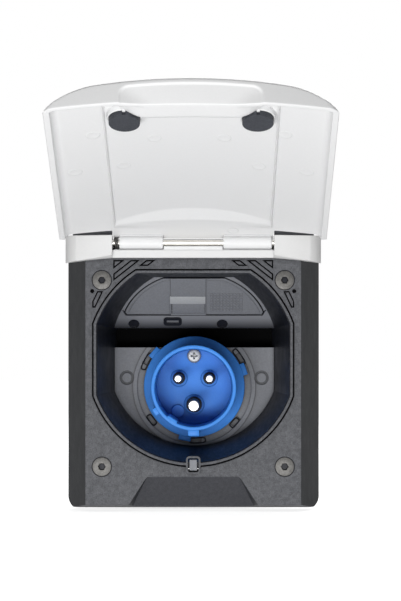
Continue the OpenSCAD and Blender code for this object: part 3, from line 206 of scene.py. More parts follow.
class Effects:
    """Builds each shared shader node group once."""

    def __init__(self) -> None:
        """Builds every group."""
        builders: dict[Effect, Callable[[], bpy.types.NodeTree]] = {
            Effect.GRAIN: self.grain, Effect.DUST: self.dust, Effect.WEAR: self.wear,
            Effect.ROUND: self.rounded, Effect.TURNED: self.turned, Effect.SCUFF: self.scuff,
            Effect.GROOVE: self.groove, Effect.HOLLOW: self.hollow, Effect.DEPTH: self.depth,
            Effect.SIDE: self.side, Effect.LEDGE: self.ledge, Effect.NOTCH: self.notch,
        }
        self.trees = {effect: build() for effect, build in builders.items()}

    @staticmethod
    def grain() -> bpy.types.NodeTree:
        """Spark-eroded mould grain: a height for the bump and a speckle for the colour."""
        graph, given, end = new_group(Effect.GRAIN, {"Scale": 2000.0, "Coarse": 0.35}, ("Height", "Speckle"))
        place = graph.spot()
        fine = graph.noise(place, given["Scale"], 3.0, 0.6)
        wide = graph.noise(place, graph.product(given["Scale"], given["Coarse"]))
        height = graph.math("ADD", graph.product(fine, 0.6), graph.product(wide, 0.4))
        graph.feed(end, "Height", height)
        graph.feed(end, "Speckle", graph.ramp(height, 0.36, 0.64))
        return graph.tree

    @staticmethod
    def dust() -> bpy.types.NodeTree:
        """Dust that settles on upward faces, in patches."""
        graph, given, end = new_group(Effect.DUST, {"Scale": 60.0, "Amount": 0.2})
        normal = graph.split(graph.add("ShaderNodeNewGeometry").outputs["Normal"])
        patches = graph.ramp(graph.noise(graph.spot(), given["Scale"], 5.0, 0.65), 0.42, 0.75)
        upward = graph.ramp(normal["Z"], -0.4, 1.0, 0.25, 1.0)
        graph.feed(end, "Mask", graph.product(patches, upward, given["Amount"]))
        return graph.tree

    @staticmethod
    def wear() -> bpy.types.NodeTree:
        """A broken mask along outer edges, where handling polishes them."""
        graph, given, end = new_group(Effect.WEAR, {"Amount": 0.5, "Scale": 300.0})
        edge = graph.ramp(graph.add("ShaderNodeNewGeometry").outputs["Pointiness"], 0.53, 0.62)
        broken = graph.ramp(graph.noise(graph.spot(), given["Scale"], 4.0, 0.6), 0.35, 0.65)
        graph.feed(end, "Mask", graph.product(edge, broken, given["Amount"]))
        return graph.tree

    @staticmethod
    def rounded() -> bpy.types.NodeTree:
        """The normal of edges that a mould leaves slightly round."""
        graph, given, end = new_group(Effect.ROUND, {"Radius": 0.0005}, ("Normal",), "NodeSocketVector")
        bevel = graph.add("ShaderNodeBevel", samples=6, inputs={"Radius": given["Radius"]})
        graph.feed(end, "Normal", bevel.outputs["Normal"])
        return graph.tree

    @staticmethod
    def turned() -> bpy.types.NodeTree:
        """Fine rings that a lathe leaves across the Y axis."""
        graph, given, end = new_group(Effect.TURNED, {"Pitch": 9000.0}, ("Height",))
        along = graph.split(graph.spot())["Y"]
        graph.feed(end, "Height", graph.math("SINE", graph.product(along, given["Pitch"])))
        return graph.tree

    @staticmethod
    def scuff() -> bpy.types.NodeTree:
        """Long fine scratches and smears for roughness."""
        graph, given, end = new_group(Effect.SCUFF, {"Scale": 90.0, "Stretch": 6.0})
        stretch = graph.add("ShaderNodeCombineXYZ", inputs={"X": given["Stretch"], "Y": 1.0, "Z": 1.0})
        pulled = graph.add("ShaderNodeVectorMath", operation="MULTIPLY",
                           inputs={0: graph.spot(), 1: stretch.outputs[0]})
        smears = graph.noise(pulled.outputs[0], given["Scale"], 6.0, 0.7)
        graph.feed(end, "Mask", graph.ramp(smears, 0.3, 0.7))
        return graph.tree

    @staticmethod
    def groove() -> bpy.types.NodeTree:
        """Painted shade in grooves cut to a given depth behind the front face."""
        graph, given, end = new_group(Effect.GROOVE, {"Face": -0.022, "Half width": 0.0578, "Low": -0.0545})
        place = graph.split(graph.spot())
        depth = graph.math("SUBTRACT", place["Y"], given["Face"])
        below = graph.product(graph.ramp(depth, 0.00012, 0.0003), graph.ramp(depth, 0.00105, 0.0013, 1.0, 0.0))
        above = graph.math("GREATER_THAN", place["Z"], given["Low"])
        graph.feed(end, "Mask", graph.product(below, graph.within(place["X"], given["Half width"]), above))
        return graph.tree

    @staticmethod
    def hollow() -> bpy.types.NodeTree:
        """Painted shade in inner corners, from how closed in a point is."""
        graph, given, end = new_group(Effect.HOLLOW, {"Distance": 0.004, "Amount": 0.5})
        shade = graph.add("ShaderNodeAmbientOcclusion", samples=8, inputs={"Distance": given["Distance"]})
        closed = graph.ramp(shade.outputs["AO"], 0.35, 0.95, 1.0, 0.0)
        graph.feed(end, "Mask", graph.product(closed, given["Amount"]))
        return graph.tree

    @staticmethod
    def depth() -> bpy.types.NodeTree:
        """How deep a point lies in the pocket above the carrier, 0 outside it; it masks the pocket's painted shade."""
        graph, given, end = new_group(Effect.DEPTH, {
            "From": 0.056, "To": 0.062, "Back": 0.0665, "Half width": 0.0478, "Low": 0.009, "High": 0.034})
        place = graph.split(graph.spot())
        inside = (graph.within(place["X"], given["Half width"]),
                  graph.math("LESS_THAN", place["Y"], given["Back"]),
                  graph.math("GREATER_THAN", place["Z"], given["Low"]),
                  graph.math("LESS_THAN", place["Z"], given["High"]))
        share = graph.share(place["Y"], given["From"], given["To"])
        graph.feed(end, "Mask", graph.product(share, *inside))
        return graph.tree

    @staticmethod
    def side() -> bpy.types.NodeTree:
        """Faces that look sideways, which get a darker colour as painted shade."""
        graph, given, end = new_group(Effect.SIDE, {"From": 0.6, "To": 0.85})
        normal = graph.split(graph.add("ShaderNodeNewGeometry").outputs["True Normal"])
        aside = graph.math("ABSOLUTE", normal["X"])
        graph.feed(end, "Mask", graph.share(aside, given["From"], given["To"]))
        return graph.tree

    @staticmethod
    def ledge() -> bpy.types.NodeTree:
        """Painted light on the ledge under the cover, flat in the cover's plane, which fades downward into painted
        shade at the pocket below it.
        """
        graph, given, end = new_group(Effect.LEDGE, {
            "Low": 0.0256, "High": 0.0318, "Along": 0.7705, "Up": 0.6374, "Plane": 0.05355, "Reach": 0.0002})
        place = graph.split(graph.spot())
        rise = graph.share(place["Z"], given["Low"], given["High"])
        level = graph.math("ADD", graph.product(place["Y"], given["Along"]), graph.product(place["Z"], given["Up"]))
        flush = graph.within(graph.math("SUBTRACT", level, given["Plane"]), given["Reach"])
        graph.feed(end, "Mask", graph.product(rise, flush))
        return graph.tree

    @staticmethod
    def notch() -> bpy.types.NodeTree:
        """Painted shade in the notch at the frame's foot, by its place behind the face."""
        graph, given, end = new_group(Effect.NOTCH, {
            "Face": -0.0216, "Top": -0.0555, "Half width": 0.036, "Amount": 0.75})
        place = graph.split(graph.spot())
        behind = graph.math("GREATER_THAN", place["Y"], given["Face"])
        under = graph.math("LESS_THAN", place["Z"], given["Top"])
        across = graph.within(place["X"], given["Half width"])
        graph.feed(end, "Mask", graph.product(behind, under, across, given["Amount"]))
        return graph.tree

    def place(self, graph: Graph, effect: Effect, **values: float) -> bpy.types.Node:
        """Puts a group into a material.

        Args:
            graph: The material's graph.
            effect: Which group.
            values: Input values by name.

        Returns:
            The group node.
        """
        return graph.add("ShaderNodeGroup", node_tree=self.trees[effect], inputs=values)


@dataclass(frozen=True)
class Finish:
    """One surface finish and the numbers that tune it."""

    name: str
    colour: Colour
    second: Colour
    roughness: tuple[float, float] = (0.35, 0.5)
    metallic: float = 0.0
    grain_scale: float = 2600.0
    grain_bump: float = 0.12
    grain_depth: float = 0.00006
    edge_radius: float = 0.0005
    dust: float = 0.08
    dust_colour: Colour = (0.6, 0.6, 0.62)
    wear: float = 0.0
    wear_colour: Colour = (0.5, 0.5, 0.5)
    specular: float = 0.5
    turned: bool = False
    turned_height: float = 0.5
    painted_groove_shade: Colour | None = None
    hollow: float = 0.0
    hollow_reach: float = 0.004
    painted_hollow_shade: Colour = (0.004, 0.004, 0.005)
    painted_pit_shade: Colour | None = None
    painted_ledge_light: Colour | None = None
    painted_side_shade: Colour | None = None
    painted_notch_shade: Colour | None = None

    def build(self, effects: Effects) -> bpy.types.Material:
        """Makes the material.

        Args:
            effects: The shared node groups.

        Returns:
            A material with a Principled shader.
        """
        material = bpy.data.materials.new(self.name)
        material.use_nodes = True
        graph = Graph(material.node_tree)
        shader = material.node_tree.nodes["Principled BSDF"]
        grain = effects.place(graph, Effect.GRAIN, Scale=self.grain_scale)
        scuff = effects.place(graph, Effect.SCUFF)
        graph.feed(shader, "Base Color", self.tint(graph, effects, grain))
        rough = graph.ramp(scuff.outputs["Mask"], 0.0, 1.0, *self.roughness)
        if self.painted_pit_shade or self.painted_groove_shade:
            dull = effects.place(graph, Effect.DEPTH if self.painted_pit_shade else Effect.GROOVE)
            rough = graph.math("MAXIMUM", rough, dull.outputs["Mask"])
        graph.feed(shader, "Roughness", rough)
        shader.inputs["Metallic"].default_value = self.metallic
        shader.inputs["Specular IOR Level"].default_value = self.specular
        height = grain.outputs["Height"]
        if self.turned:
            rings = effects.place(graph, Effect.TURNED)
            ridges = graph.product(rings.outputs["Height"], self.turned_height)
            height = graph.math("ADD", height, ridges)
        bump = graph.add("ShaderNodeBump", inputs={
            "Strength": self.grain_bump, "Distance": self.grain_depth, "Height": height})
        if self.edge_radius:
            edges = effects.place(graph, Effect.ROUND, Radius=self.edge_radius)
            graph.feed(bump, "Normal", edges.outputs["Normal"])
        graph.feed(shader, "Normal", bump.outputs["Normal"])
        return material

    def tint(self, graph: Graph, effects: Effects, grain: bpy.types.Node) -> Socket:
        """Layers the colours over the speckle, in the order of the table below.

        Args:
            graph: The material's graph.
            effects: The shared node groups.
            grain: The grain group's node in this material.

        Returns:
            The socket with the final colour.
        """
        # Wear and dust are the thing's own colour; the hollow, side, notch, groove and depth layers are painted shade,
        # and the ledge layer is painted light that fades into painted shade.
        layers: dict[Effect, tuple[Colour | None, dict[str, float]]] = {
            Effect.WEAR: (self.wear_colour if self.wear else None, {"Amount": self.wear}),
            Effect.DUST: (self.dust_colour if self.dust else None, {"Amount": self.dust}),
            Effect.HOLLOW: (self.painted_hollow_shade if self.hollow else None,
                            {"Amount": self.hollow, "Distance": self.hollow_reach}),
            Effect.SIDE: (self.painted_side_shade, {}),
            Effect.NOTCH: (self.painted_notch_shade, {}),
            Effect.GROOVE: (self.painted_groove_shade, {}),
            Effect.LEDGE: (self.painted_ledge_light, {}),
            Effect.DEPTH: (self.painted_pit_shade, {}),
        }
        colour = graph.mix(grain.outputs["Speckle"], (*self.colour, 1.0), (*self.second, 1.0))
        for effect, (over, values) in layers.items():
            if over:
                mask = effects.place(graph, effect, **values)
                colour = graph.mix(mask.outputs["Mask"], colour, (*over, 1.0))
        return colour


FINISHES: dict[Slot, Finish] = {
    # Painted shade: the hollow, side, notch and groove colours darken the frame where shade falls.
    Slot.FRAME: Finish(
        "grained_anthracite", (0.063, 0.065, 0.071), (0.128, 0.131, 0.142), (0.5, 0.6), grain_scale=1500.0,
        grain_bump=0.5, grain_depth=0.00014, edge_radius=0.0007, dust=0.0, wear=0.12,
        wear_colour=(0.14, 0.14, 0.15), specular=0.12, painted_groove_shade=(0.001, 0.001, 0.0015), hollow=0.4,
        hollow_reach=0.003, painted_side_shade=(0.011, 0.012, 0.014), painted_notch_shade=(0.038, 0.039, 0.045)),
    # Painted shade: the pit colour blackens the deep pocket above the carrier. Painted light: the ledge colour lightens
    # the ledge under the cover and fades into painted shade below it.
    Slot.TUB: Finish(
        "satin_black", (0.01, 0.011, 0.015), (0.016, 0.017, 0.023), (0.34, 0.46), grain_bump=0.08, dust=0.0,
        specular=0.13, painted_pit_shade=(0.001, 0.001, 0.0012), painted_ledge_light=(0.21, 0.216, 0.235)),
    # Painted shade: the hollow colour greys the lid's inner corners.
    Slot.LID: Finish(
        "satin_white", (0.75, 0.752, 0.755), (0.77, 0.772, 0.775), (0.36, 0.48), grain_bump=0.025,
        edge_radius=0.0006, dust=0.015, dust_colour=(0.6, 0.58, 0.55), specular=0.2, hollow=0.3,
        hollow_reach=0.0018, painted_hollow_shade=(0.25, 0.25, 0.26)),
    # Painted shade: the hollow amount darkens the panel's corners and recesses.
    Slot.PANEL: Finish(
        "moulded_grey", (0.174, 0.181, 0.199), (0.214, 0.221, 0.241), (0.36, 0.5), grain_bump=0.1, dust=0.04,
        dust_colour=(0.2, 0.2, 0.2), specular=0.2, hollow=0.65, hollow_reach=0.0025),
    # Painted shade: the dark blue hollow colour shades the inlet's recesses.
    Slot.INLET: Finish(
        "signal_blue", (0.052, 0.255, 0.76), (0.06, 0.275, 0.8), (0.34, 0.46), grain_bump=0.05,
        edge_radius=0.0006, dust=0.0, specular=0.15, hollow=0.4, hollow_reach=0.008,
        painted_hollow_shade=(0.003, 0.014, 0.16)),
    # Painted shade: the hollow amount darkens the steel's sockets and corners.
    Slot.STEEL: Finish(
        "dull_steel", (0.07, 0.068, 0.065), (0.125, 0.122, 0.117), (0.42, 0.55), metallic=0.5,
        grain_scale=1500.0, grain_bump=0.2, edge_radius=0.0003, dust=0.0, specular=0.3, hollow=0.8,
        hollow_reach=0.0014),
    Slot.NICKEL: Finish(
        "bright_nickel", (0.78, 0.76, 0.71), (0.84, 0.82, 0.77), (0.3, 0.4), metallic=1.0, grain_bump=0.04,
        edge_radius=0.0004, dust=0.0, turned=True),
    Slot.RUBBER: Finish(
        "dark_rubber", (0.035, 0.038, 0.045), (0.055, 0.058, 0.068), (0.5, 0.68), grain_scale=1800.0,
        grain_bump=0.25, edge_radius=0.0006, dust=0.06, dust_colour=(0.25, 0.25, 0.27), specular=0.2),
    Slot.BRASS: Finish(
        "turned_brass", (0.62, 0.45, 0.18), (0.7, 0.52, 0.24), (0.25, 0.4), metallic=1.0, turned=True, dust=0.0,
        edge_radius=0.0003),
}

# A paler grey than the panel, as painted light on the cover's upper grip band.
PAINTED_GRIP_LIGHT = Finish("grip_painted_light", (0.36, 0.37, 0.385), (0.42, 0.43, 0.445), (0.3, 0.42), grain_bump=0.06, dust=0.02,
              specular=0.3)
RAIL = replace(FINISHES[Slot.LID], name="hinge_white", colour=(0.67, 0.67, 0.668), second=(0.69, 0.69, 0.688),
               edge_radius=0.0008)
# Painted shade: the hollow amount darkens the plated screw's recess.
PLATED = Finish("plated_screw", (0.3, 0.3, 0.295), (0.44, 0.44, 0.43), (0.42, 0.55), metallic=0.5, grain_bump=0.15,
                edge_radius=0.0003, dust=0.0, hollow=0.6, hollow_reach=0.0008)
LIKE: dict[str, Finish] = {
    "carrier_screws": FINISHES[Slot.PANEL],
    "plug_catch": FINISHES[Slot.PANEL],
    "hinge_pin": FINISHES[Slot.NICKEL],
    "hinge_rail": RAIL,
}


def smooth(value: float) -> float:
    """Returns a step from 0 to 1 with soft ends."""
    share = min(max(value, 0.0), 1.0)
    return share * share * (3.0 - 2.0 * share)


def soft_min(first: float, second: float, width: float) -> float:
    """Returns the smaller of two values, rounded over a width where they meet."""
    share = max(width - abs(first - second), 0.0) / width
    return min(first, second) - share * share * width * 0.25


def soft_max(first: float, second: float, width: float) -> float:
    """Returns the larger of two values, rounded over a width where they meet."""
    return -soft_min(-first, -second, width)


Place = Callable[[Point], Vector]
Reach = float | Callable[[float], float]
Profile = list[tuple[float, Reach]]
Offsets = tuple[tuple[float, float], ...]
ASKEW = Vector((0.2, 1.0, 0.3))  # a direction that no wire here runs in
LOBE_FROM, LOBE_RUN = 0.55, 0.4


def to_metres(point: Point) -> Vector:
    """Turns a point in millimetres into metres."""
    return MM * Vector(point)


def into_wall(x: float, z: float) -> Place:
    """Returns a placing for points given along an axis that runs into the wall at x and z."""
    return lambda point: to_metres((point[1] + x, point[0], point[2] + z))


def around(along: float, reach: float, steps: Offsets) -> Profile:
    """Returns profile points that are given as small offsets from one corner."""
    return [(along + step, reach + out) for step, out in steps]


def circle(count: int) -> list[float]:
    """Returns a number of even turns round a circle, in radians."""
    return [2.0 * math.pi * k / count for k in range(count)]


def ring_loft(mesh: Mesh, rings: Sequence[Sequence[Vector]], closed: bool) -> None:
    """Skins a row of rings with quads.

    Args:
        mesh: The mesh that receives the skin.
        rings: Rings of equal length.
        closed: Whether the last ring joins the first, instead of both being capped.
    """
    loops = [[mesh.verts.new(point) for point in ring] for ring in rings]
    pairs = list(zip(loops, loops[1:]))
    if closed:
        pairs.append((loops[-1], loops[0]))
    count = len(loops[0])
    for first, second in pairs:
        for k in range(count):
            n = (k + 1) % count
            mesh.faces.new((first[k], first[n], second[n], second[k]))
    if not closed:
        mesh.faces.new(list(reversed(loops[0])))
        mesh.faces.new(loops[-1])


def soft_box(mesh: Mesh, low: Point, high: Point, radius: float, place: Place) -> None:
    """Adds a box with rounded edges.

    Args:
        mesh: The mesh that receives the box.
        low: Lowest corner in millimetres.
        high: Highest corner in millimetres.
        radius: Edge radius in millimetres.
        place: Where a local point goes.
    """
    part = bmesh.new()
    corners = [(x, y, z) for x in (low[0], high[0]) for y in (low[1], high[1]) for z in (low[2], high[2])]
    verts = [part.verts.new(corner) for corner in corners]
    for quad in ((0, 1, 3, 2), (4, 6, 7, 5), (0, 4, 5, 1), (2, 3, 7, 6), (0, 2, 6, 4), (1, 5, 7, 3)):
        part.faces.new([verts[k] for k in quad])
    bmesh.ops.bevel(part, geom=list(part.edges), offset=radius, segments=2, profile=0.5, affect="EDGES")
    twins = {vert: mesh.verts.new(place(tuple(vert.co))) for vert in part.verts}
    for face in part.faces:
        mesh.faces.new([twins[vert] for vert in face.verts])
    part.free()


def hexagon(width: float) -> Callable[[float], float]:
    """Returns the reach of a hexagon of a given width across its corners, by angle."""
    def reach(turn: float) -> float:
        """Returns the reach at one angle."""
        return 0.5 * width * math.cos(math.pi / 6) / math.cos(turn % (math.pi / 3) - math.pi / 6)
    return reach


def lobed(inner: float, outer: float) -> Callable[[float], float]:
    """Returns the reach of a four-lobed driver recess, by angle."""
    def reach(turn: float) -> float:
        """Returns the reach at one angle."""
        return inner + (outer - inner) * smooth((abs(math.cos(2.0 * turn)) - LOBE_FROM) / LOBE_RUN)
    return reach


def lathe(mesh: Mesh, profile: Profile, sides: int, place: Place, bored: bool) -> None:
    """Turns a profile about the local X axis.

    Args:
        mesh: The mesh that receives the form.
        profile: Pairs of a place along the axis and a reach from it, in millimetres.
        sides: Number of sides.
        place: Where a local point goes.
        bored: Whether the profile is a closed ring round a bore, instead of running from cap to cap.
    """
    rings = []
    for along, radius in profile:
        ring = []
        for turn in circle(sides):
            reach = radius(turn) if callable(radius) else radius
            ring.append(place((along, reach * math.cos(turn), reach * math.sin(turn))))
        rings.append(ring)
    ring_loft(mesh, rings, bored)


def wire(mesh: Mesh, path: Sequence[Vector], radius: float, sides: int, closed: bool) -> None:
    """Sweeps a round wire along a path.

    Args:
        mesh: The mesh that receives the wire.
        path: Centre line in millimetres.
        radius: Wire radius in millimetres.
        sides: Number of sides.
        closed: Whether the path is a loop.
    """
    rings = []
    last = len(path) - 1
    for k, point in enumerate(path):
        after = path[(k + 1) % len(path)] if closed else path[min(k + 1, last)]
        before = path[k - 1] if closed else path[max(k - 1, 0)]
        ahead = (after - before).normalized()
        side = ahead.cross(ASKEW).normalized()
        over = ahead.cross(side)
        spokes = [side * math.cos(turn) + over * math.sin(turn) for turn in circle(sides)]
        rings.append([MM * (point + radius * spoke) for spoke in spokes])
    ring_loft(mesh, rings, closed)


@dataclass
class CadDressing:
    """Gives every CAD node the finish of its slot, or the one that LIKE names for it."""

    effects: Effects
    materials: dict[str, bpy.types.Material] = field(default_factory=dict)

    def material(self, finish: Finish) -> bpy.types.Material:
        """Returns the finish's material, made on first use."""
        if finish.name not in self.materials:
            self.materials[finish.name] = finish.build(self.effects)
        return self.materials[finish.name]

    def dress(self) -> None:
        """Assigns a material to every node."""
        for entry in frame["record"]["subparts"]:
            name = entry["node"]
            finish = LIKE.get(name, FINISHES[Slot(entry["material_slot"])])
            data = frame["nodes"][name].data
            data.materials.clear()
            data.materials.append(self.material(finish))
            log.info("dressed %s with %s", name, finish.name)


@dataclass
class Workshop:
    """Turns meshes into pieces that ride on a body."""

    dressing: CadDressing
    sharp: float = math.radians(34.0)
    weld: float = 1e-7
    sliver: float = 1e-8

    def piece(self, name: str, mesh: Mesh, body: Body, slot: Slot, stands_for: str = "",
              finish: Finish | None = None) -> None:
        """Makes one piece.

        Args:
            name: The piece's name.
            mesh: Its mesh in metres, which is freed.
            body: The body it rides on.
            slot: The record's material slot.
            stands_for: The CAD node it replaces, if any.
            finish: A finish it wears instead of its slot's.
        """
        bmesh.ops.remove_doubles(mesh, verts=list(mesh.verts), dist=self.weld)
        bmesh.ops.dissolve_degenerate(mesh, edges=list(mesh.edges), dist=self.sliver)
        bmesh.ops.recalc_face_normals(mesh, faces=list(mesh.faces))
        data = bpy.data.meshes.new(name)
        mesh.to_mesh(data)
        mesh.free()
        data.materials.append(self.dressing.material(finish or FINISHES[slot]))
        data.polygons.foreach_set("use_smooth", [True] * len(data.polygons))
        data.set_sharp_from_angle(angle=self.sharp)
        item = bpy.data.objects.new(name, data)
        bpy.context.scene.collection.objects.link(item)
        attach(item, body.value)
        if stands_for:
            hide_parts(stands_for)
        log.info("made %s with %d faces on %s", name, len(data.polygons), body.value)


@dataclass
class LidDome:
    """The domed lid: lofted in its shut place, then swung open about the hinge.

    Sizes are in millimetres. X runs across the lid, Y from the crown to the wall and Z from the free end to the hinge.
    """

    half: float = 70.5
    wall: float = 2.4
    crown_r: float = 583.0
    crown_half: float = 44.0
    shoulder_r: float = 44.0
    edge_r: float = 6.0
    inner_r: float = 327.6
    inner_edge: float = 4.1
    inner_half: float = 66.6
    flare: float = 2.4
    flare_run: float = 20.0
    apex: float = -33.2
    inner_apex: float = -30.0
    rim: float = -20.4
    end: float = 82.0
    end_r: float = 300.0
    corner_r: float = 8.0
    crown_round: float = 1.3
    rim_round: float = 0.5
    round_most: tuple[float, float] = (0.45, 0.3)
    round_steps: tuple[int, int] = (5, 3)
    wall_steps: int = 40
    droop_r: float = 575.0
    droop_z: float = 64.68
    gap: float = 0.6
    tongue_half: float = 43.4
    wing_from: float = 43.7
    tongue_top: float = 72.7
    pad: float = -27.6
    pad_z: float = 51.0
    pad_bow: float = 0.0024
    pad_rise: float = 0.0006
    pad_edge: float = 0.5
    level_from: float = 61.0
    level_run: float = 5.0
    ramp_slope: float = 0.26
    ramp_blend: float = 0.12
    rib_x: float = 42.0
    rib_w: float = 0.8
    rib_h: float = 1.0
    rib_soft: tuple[float, float] = (0.2, 0.35)
    rib_end: float = 57.1
    pull_half: float = 34.0
    pull_back: float = 21.0
    pull_corner: float = 5.0
    pull_depth: float = 2.5
    pull_step: float = 0.5
    pull_blend: float = 1.0
    pull_edge: float = 1.2
    bowl_flat: float = 8.0
    bowl_bend: float = 6.0
    bowl_back: float = 21.0
    bowl_blend: float = 0.25
    pull_wall: float = 1.8
    barrel_in: float = 16.4
    barrel_out: float = 42.8
    barrel_left: float = 40.2
    barrel_r: float = 3.5
    barrel_bore: float = 1.85
    barrel_edge: float = 0.3
    web_sunk: float = 0.6
    web_low: float = 2.2
    web_gap: float = 0.2
    web_edge: float = 0.25
    magnet_x: float = 31.9
    magnet_z: float = 58.0
    seat_r: float = 7.5
    seat_y: float = -26.9
    cup_r: float = 8.42
    cup_y: float = -24.9
    cup_sunk: float = 4.0
    cup_wall: float = 0.8
    cup_edge: tuple[float, float] = (0.2, 0.25)
    seat_steps: Offsets = ((-5.0, 0.5), (-0.3, 0.2), (-0.02, -0.2))
    key_half: float = 0.8
    key_sunk: float = 5.0
    key_rise: float = 0.5
    key_span: tuple[float, float] = (-1.0, 0.5)
    key_edge: float = 0.2
    rows_wall: tuple[float, ...] = (0.0, 0.05, 0.1, 0.16, 0.22, 0.28, 0.34, 0.42)
    row_goals: tuple[tuple[float, int], ...] = ((-62.0, 34), (36.0, 32), (57.0, 34))
    row_last: int = 12
    column_middle: tuple[tuple[float, float, int], ...] = ((0.0, 1.5, 10), (15.0, 0.6, 36))
    column_turns: tuple[float, ...] = (37.0, 38.0, 39.0, 40.0, 40.8, 41.2, 41.4, 41.55, 42.0, 42.45, 42.6, 42.8, 43.1,
                                       43.4, 43.5, 43.6, 43.7, 43.9, 44.3, 45.0)
    column_wing: tuple[float, float, int] = (46.5, 1.5, 8)
    column_edge: int = 24
    halvings: int = 40
    barrel_sides: int = 40
    seat_sides: int = 56
    hinge: tuple[float, float] = HINGE
    open_deg: float = 113.0

    def crown(self, x: float) -> float:
        """Returns the height of the crown: a flat arch, then a shoulder, then a rounded side."""
        out = abs(x)
        if out <= self.crown_half:
            return self.apex + self.crown_r - math.sqrt(self.crown_r ** 2 - out * out)
        lean = self.crown_half / self.crown_r
        rest = self.crown_r - self.shoulder_r
        across = rest * lean
        middle = self.apex + self.crown_r - rest * math.sqrt(1.0 - lean * lean)
        inner = self.shoulder_r - self.edge_r
        turn = (self.half - self.edge_r - across) / inner
        if out <= across + self.shoulder_r * turn:
            return middle - math.sqrt(self.shoulder_r ** 2 - (out - across) ** 2)
        side = self.half - self.edge_r
        return middle - inner * math.sqrt(1.0 - turn * turn) - math.sqrt(max(self.edge_r ** 2 - (out - side) ** 2, 0.0))

    def ceiling(self, x: float) -> float:
        """Returns the height of the plain inside of the crown."""
        arch = self.inner_apex + self.inner_r
        flat = self.inner_half - self.inner_edge
        if abs(x) <= flat:
            return arch - math.sqrt(self.inner_r ** 2 - x * x)
        foot = arch - math.sqrt(self.inner_r ** 2 - flat * flat) + self.inner_edge
        return foot - math.sqrt(max(self.inner_edge ** 2 - (abs(x) - flat) ** 2, 0.0))

    def reach(self, height: Callable[[float], float]) -> float:
        """Returns how far out a section meets the rim, by halving."""
        low, high = self.crown_half, self.half
        for _ in range(self.halvings):
            middle = 0.5 * (low + high)
            low, high = (middle, high) if height(middle) < self.rim else (low, middle)
        return low

    def columns(self, height: Callable[[float], float]) -> list[float]:
        """Returns the places across the lid, closer together where its shape turns."""
        half = [start + step * k for start, step, count in self.column_middle for k in range(count)]
        half += self.column_turns
        start, step, count = self.column_wing
        half += [start + step * k for k in range(count)]
        start, end, count = half[-1], self.reach(height), self.column_edge
        half += [start + (end - start) * math.sin(0.5 * math.pi * k / count) for k in range(1, count + 1)]
        return [-x for x in reversed(half[1:])] + half

    def free_end(self, x: float, inset: float) -> float:
        """Returns where the lid ends at x: a shallow arc with round corners."""
        centre = self.end_r - self.end
        inner = self.end_r - self.corner_r
        side = self.half - self.corner_r
        corner = centre - math.sqrt(inner * inner - side * side)
        radius = self.end_r - inset
        if abs(x) <= side * radius / inner:
            return centre - math.sqrt(radius * radius - x * x)
        small = self.corner_r - inset
        return corner - math.sqrt(max(small * small - (abs(x) - side) ** 2, 0.0))

    def hinge_edge(self, x: float) -> float:
        """Returns where the lid ends beside the hinge: a tongue between two drooping wings."""
        droop = self.droop_z - self.gap - x * x / (2.0 * self.droop_r)
        step = smooth((self.wing_from - abs(x)) / (self.wing_from - self.tongue_half))
        return droop + (self.tongue_top - droop) * step

    def rows(self, x: float, start: float) -> list[float]:
        """Returns the places from the free end to the hinge at one column."""
        places = [start + step for step in self.rows_wall]
        for goal, count in (*self.row_goals, (self.hinge_edge(x), self.row_last)):
            origin = places[-1]
            places += [origin + (goal - origin) * k / count for k in range(1, count + 1)]
        return places

    def pull(self, x: float, y: float) -> float:
        """Returns how deep the finger pull is at a point of the end wall."""
        top = self.crown(x) + self.wall
        across, down = self.pull_half - abs(x), y - top
        if across <= 0.0 or down <= 0.0:
            return 0.0
        edge, bend = min(across, down), self.pull_corner
        if across < bend and down < bend:
            edge = bend - math.hypot(bend - across, bend - down)
        wedge = self.pull_depth * down / (self.rim - top)
        side = self.pull_depth * across / (self.pull_half - self.pull_back)
        deep = max(soft_min(wedge, side, self.pull_blend), 0.0) + self.pull_step
        return deep * smooth(edge / self.pull_edge)

    def inside(self, x: float, z: float, end: float) -> float:
        """Returns the height of the inner surface.

        Args:
            x: Place across the lid.
            z: Place along the lid.
            end: Where the inner surface starts at this column.

        Returns:
            The height in millimetres.
        """
        base = self.ceiling(x)
        height = base
        if abs(x) <= self.rib_x + self.pad_edge:
            pad = self.pad + self.pad_rise * x * x * smooth((self.level_from - z) / self.level_run)
            ramp = pad - max(self.pad_z + self.pad_bow * x * x - z, 0.0) * self.ramp_slope
            height = max(height, soft_max(base, ramp, self.ramp_blend))
        if z < self.rib_end:
            side = self.rib_w / 2 + self.rib_soft[0] - abs(abs(x) - self.rib_x)
            height = max(height, base + self.rib_h * smooth(side / self.rib_soft[1]))
        outer = self.pull_half + self.pull_wall
        share = math.sin(0.5 * math.pi * min(max((outer - abs(x)) / (outer - self.bowl_back), 0.0), 1.0))
        bend, curve = self.bowl_bend, max(z - end, 0.0) - self.bowl_flat
        if share > 0.0 and curve <= bend:
            drop = bend - math.sqrt(max(bend * bend - max(curve, 0.0) ** 2, 0.0))
            height = soft_max(height, base + (self.rim - drop - base) * share, self.bowl_blend)
        wall = smooth((z - end) / self.rows_wall[-1])
        return self.rim + (height - self.rim) * wall

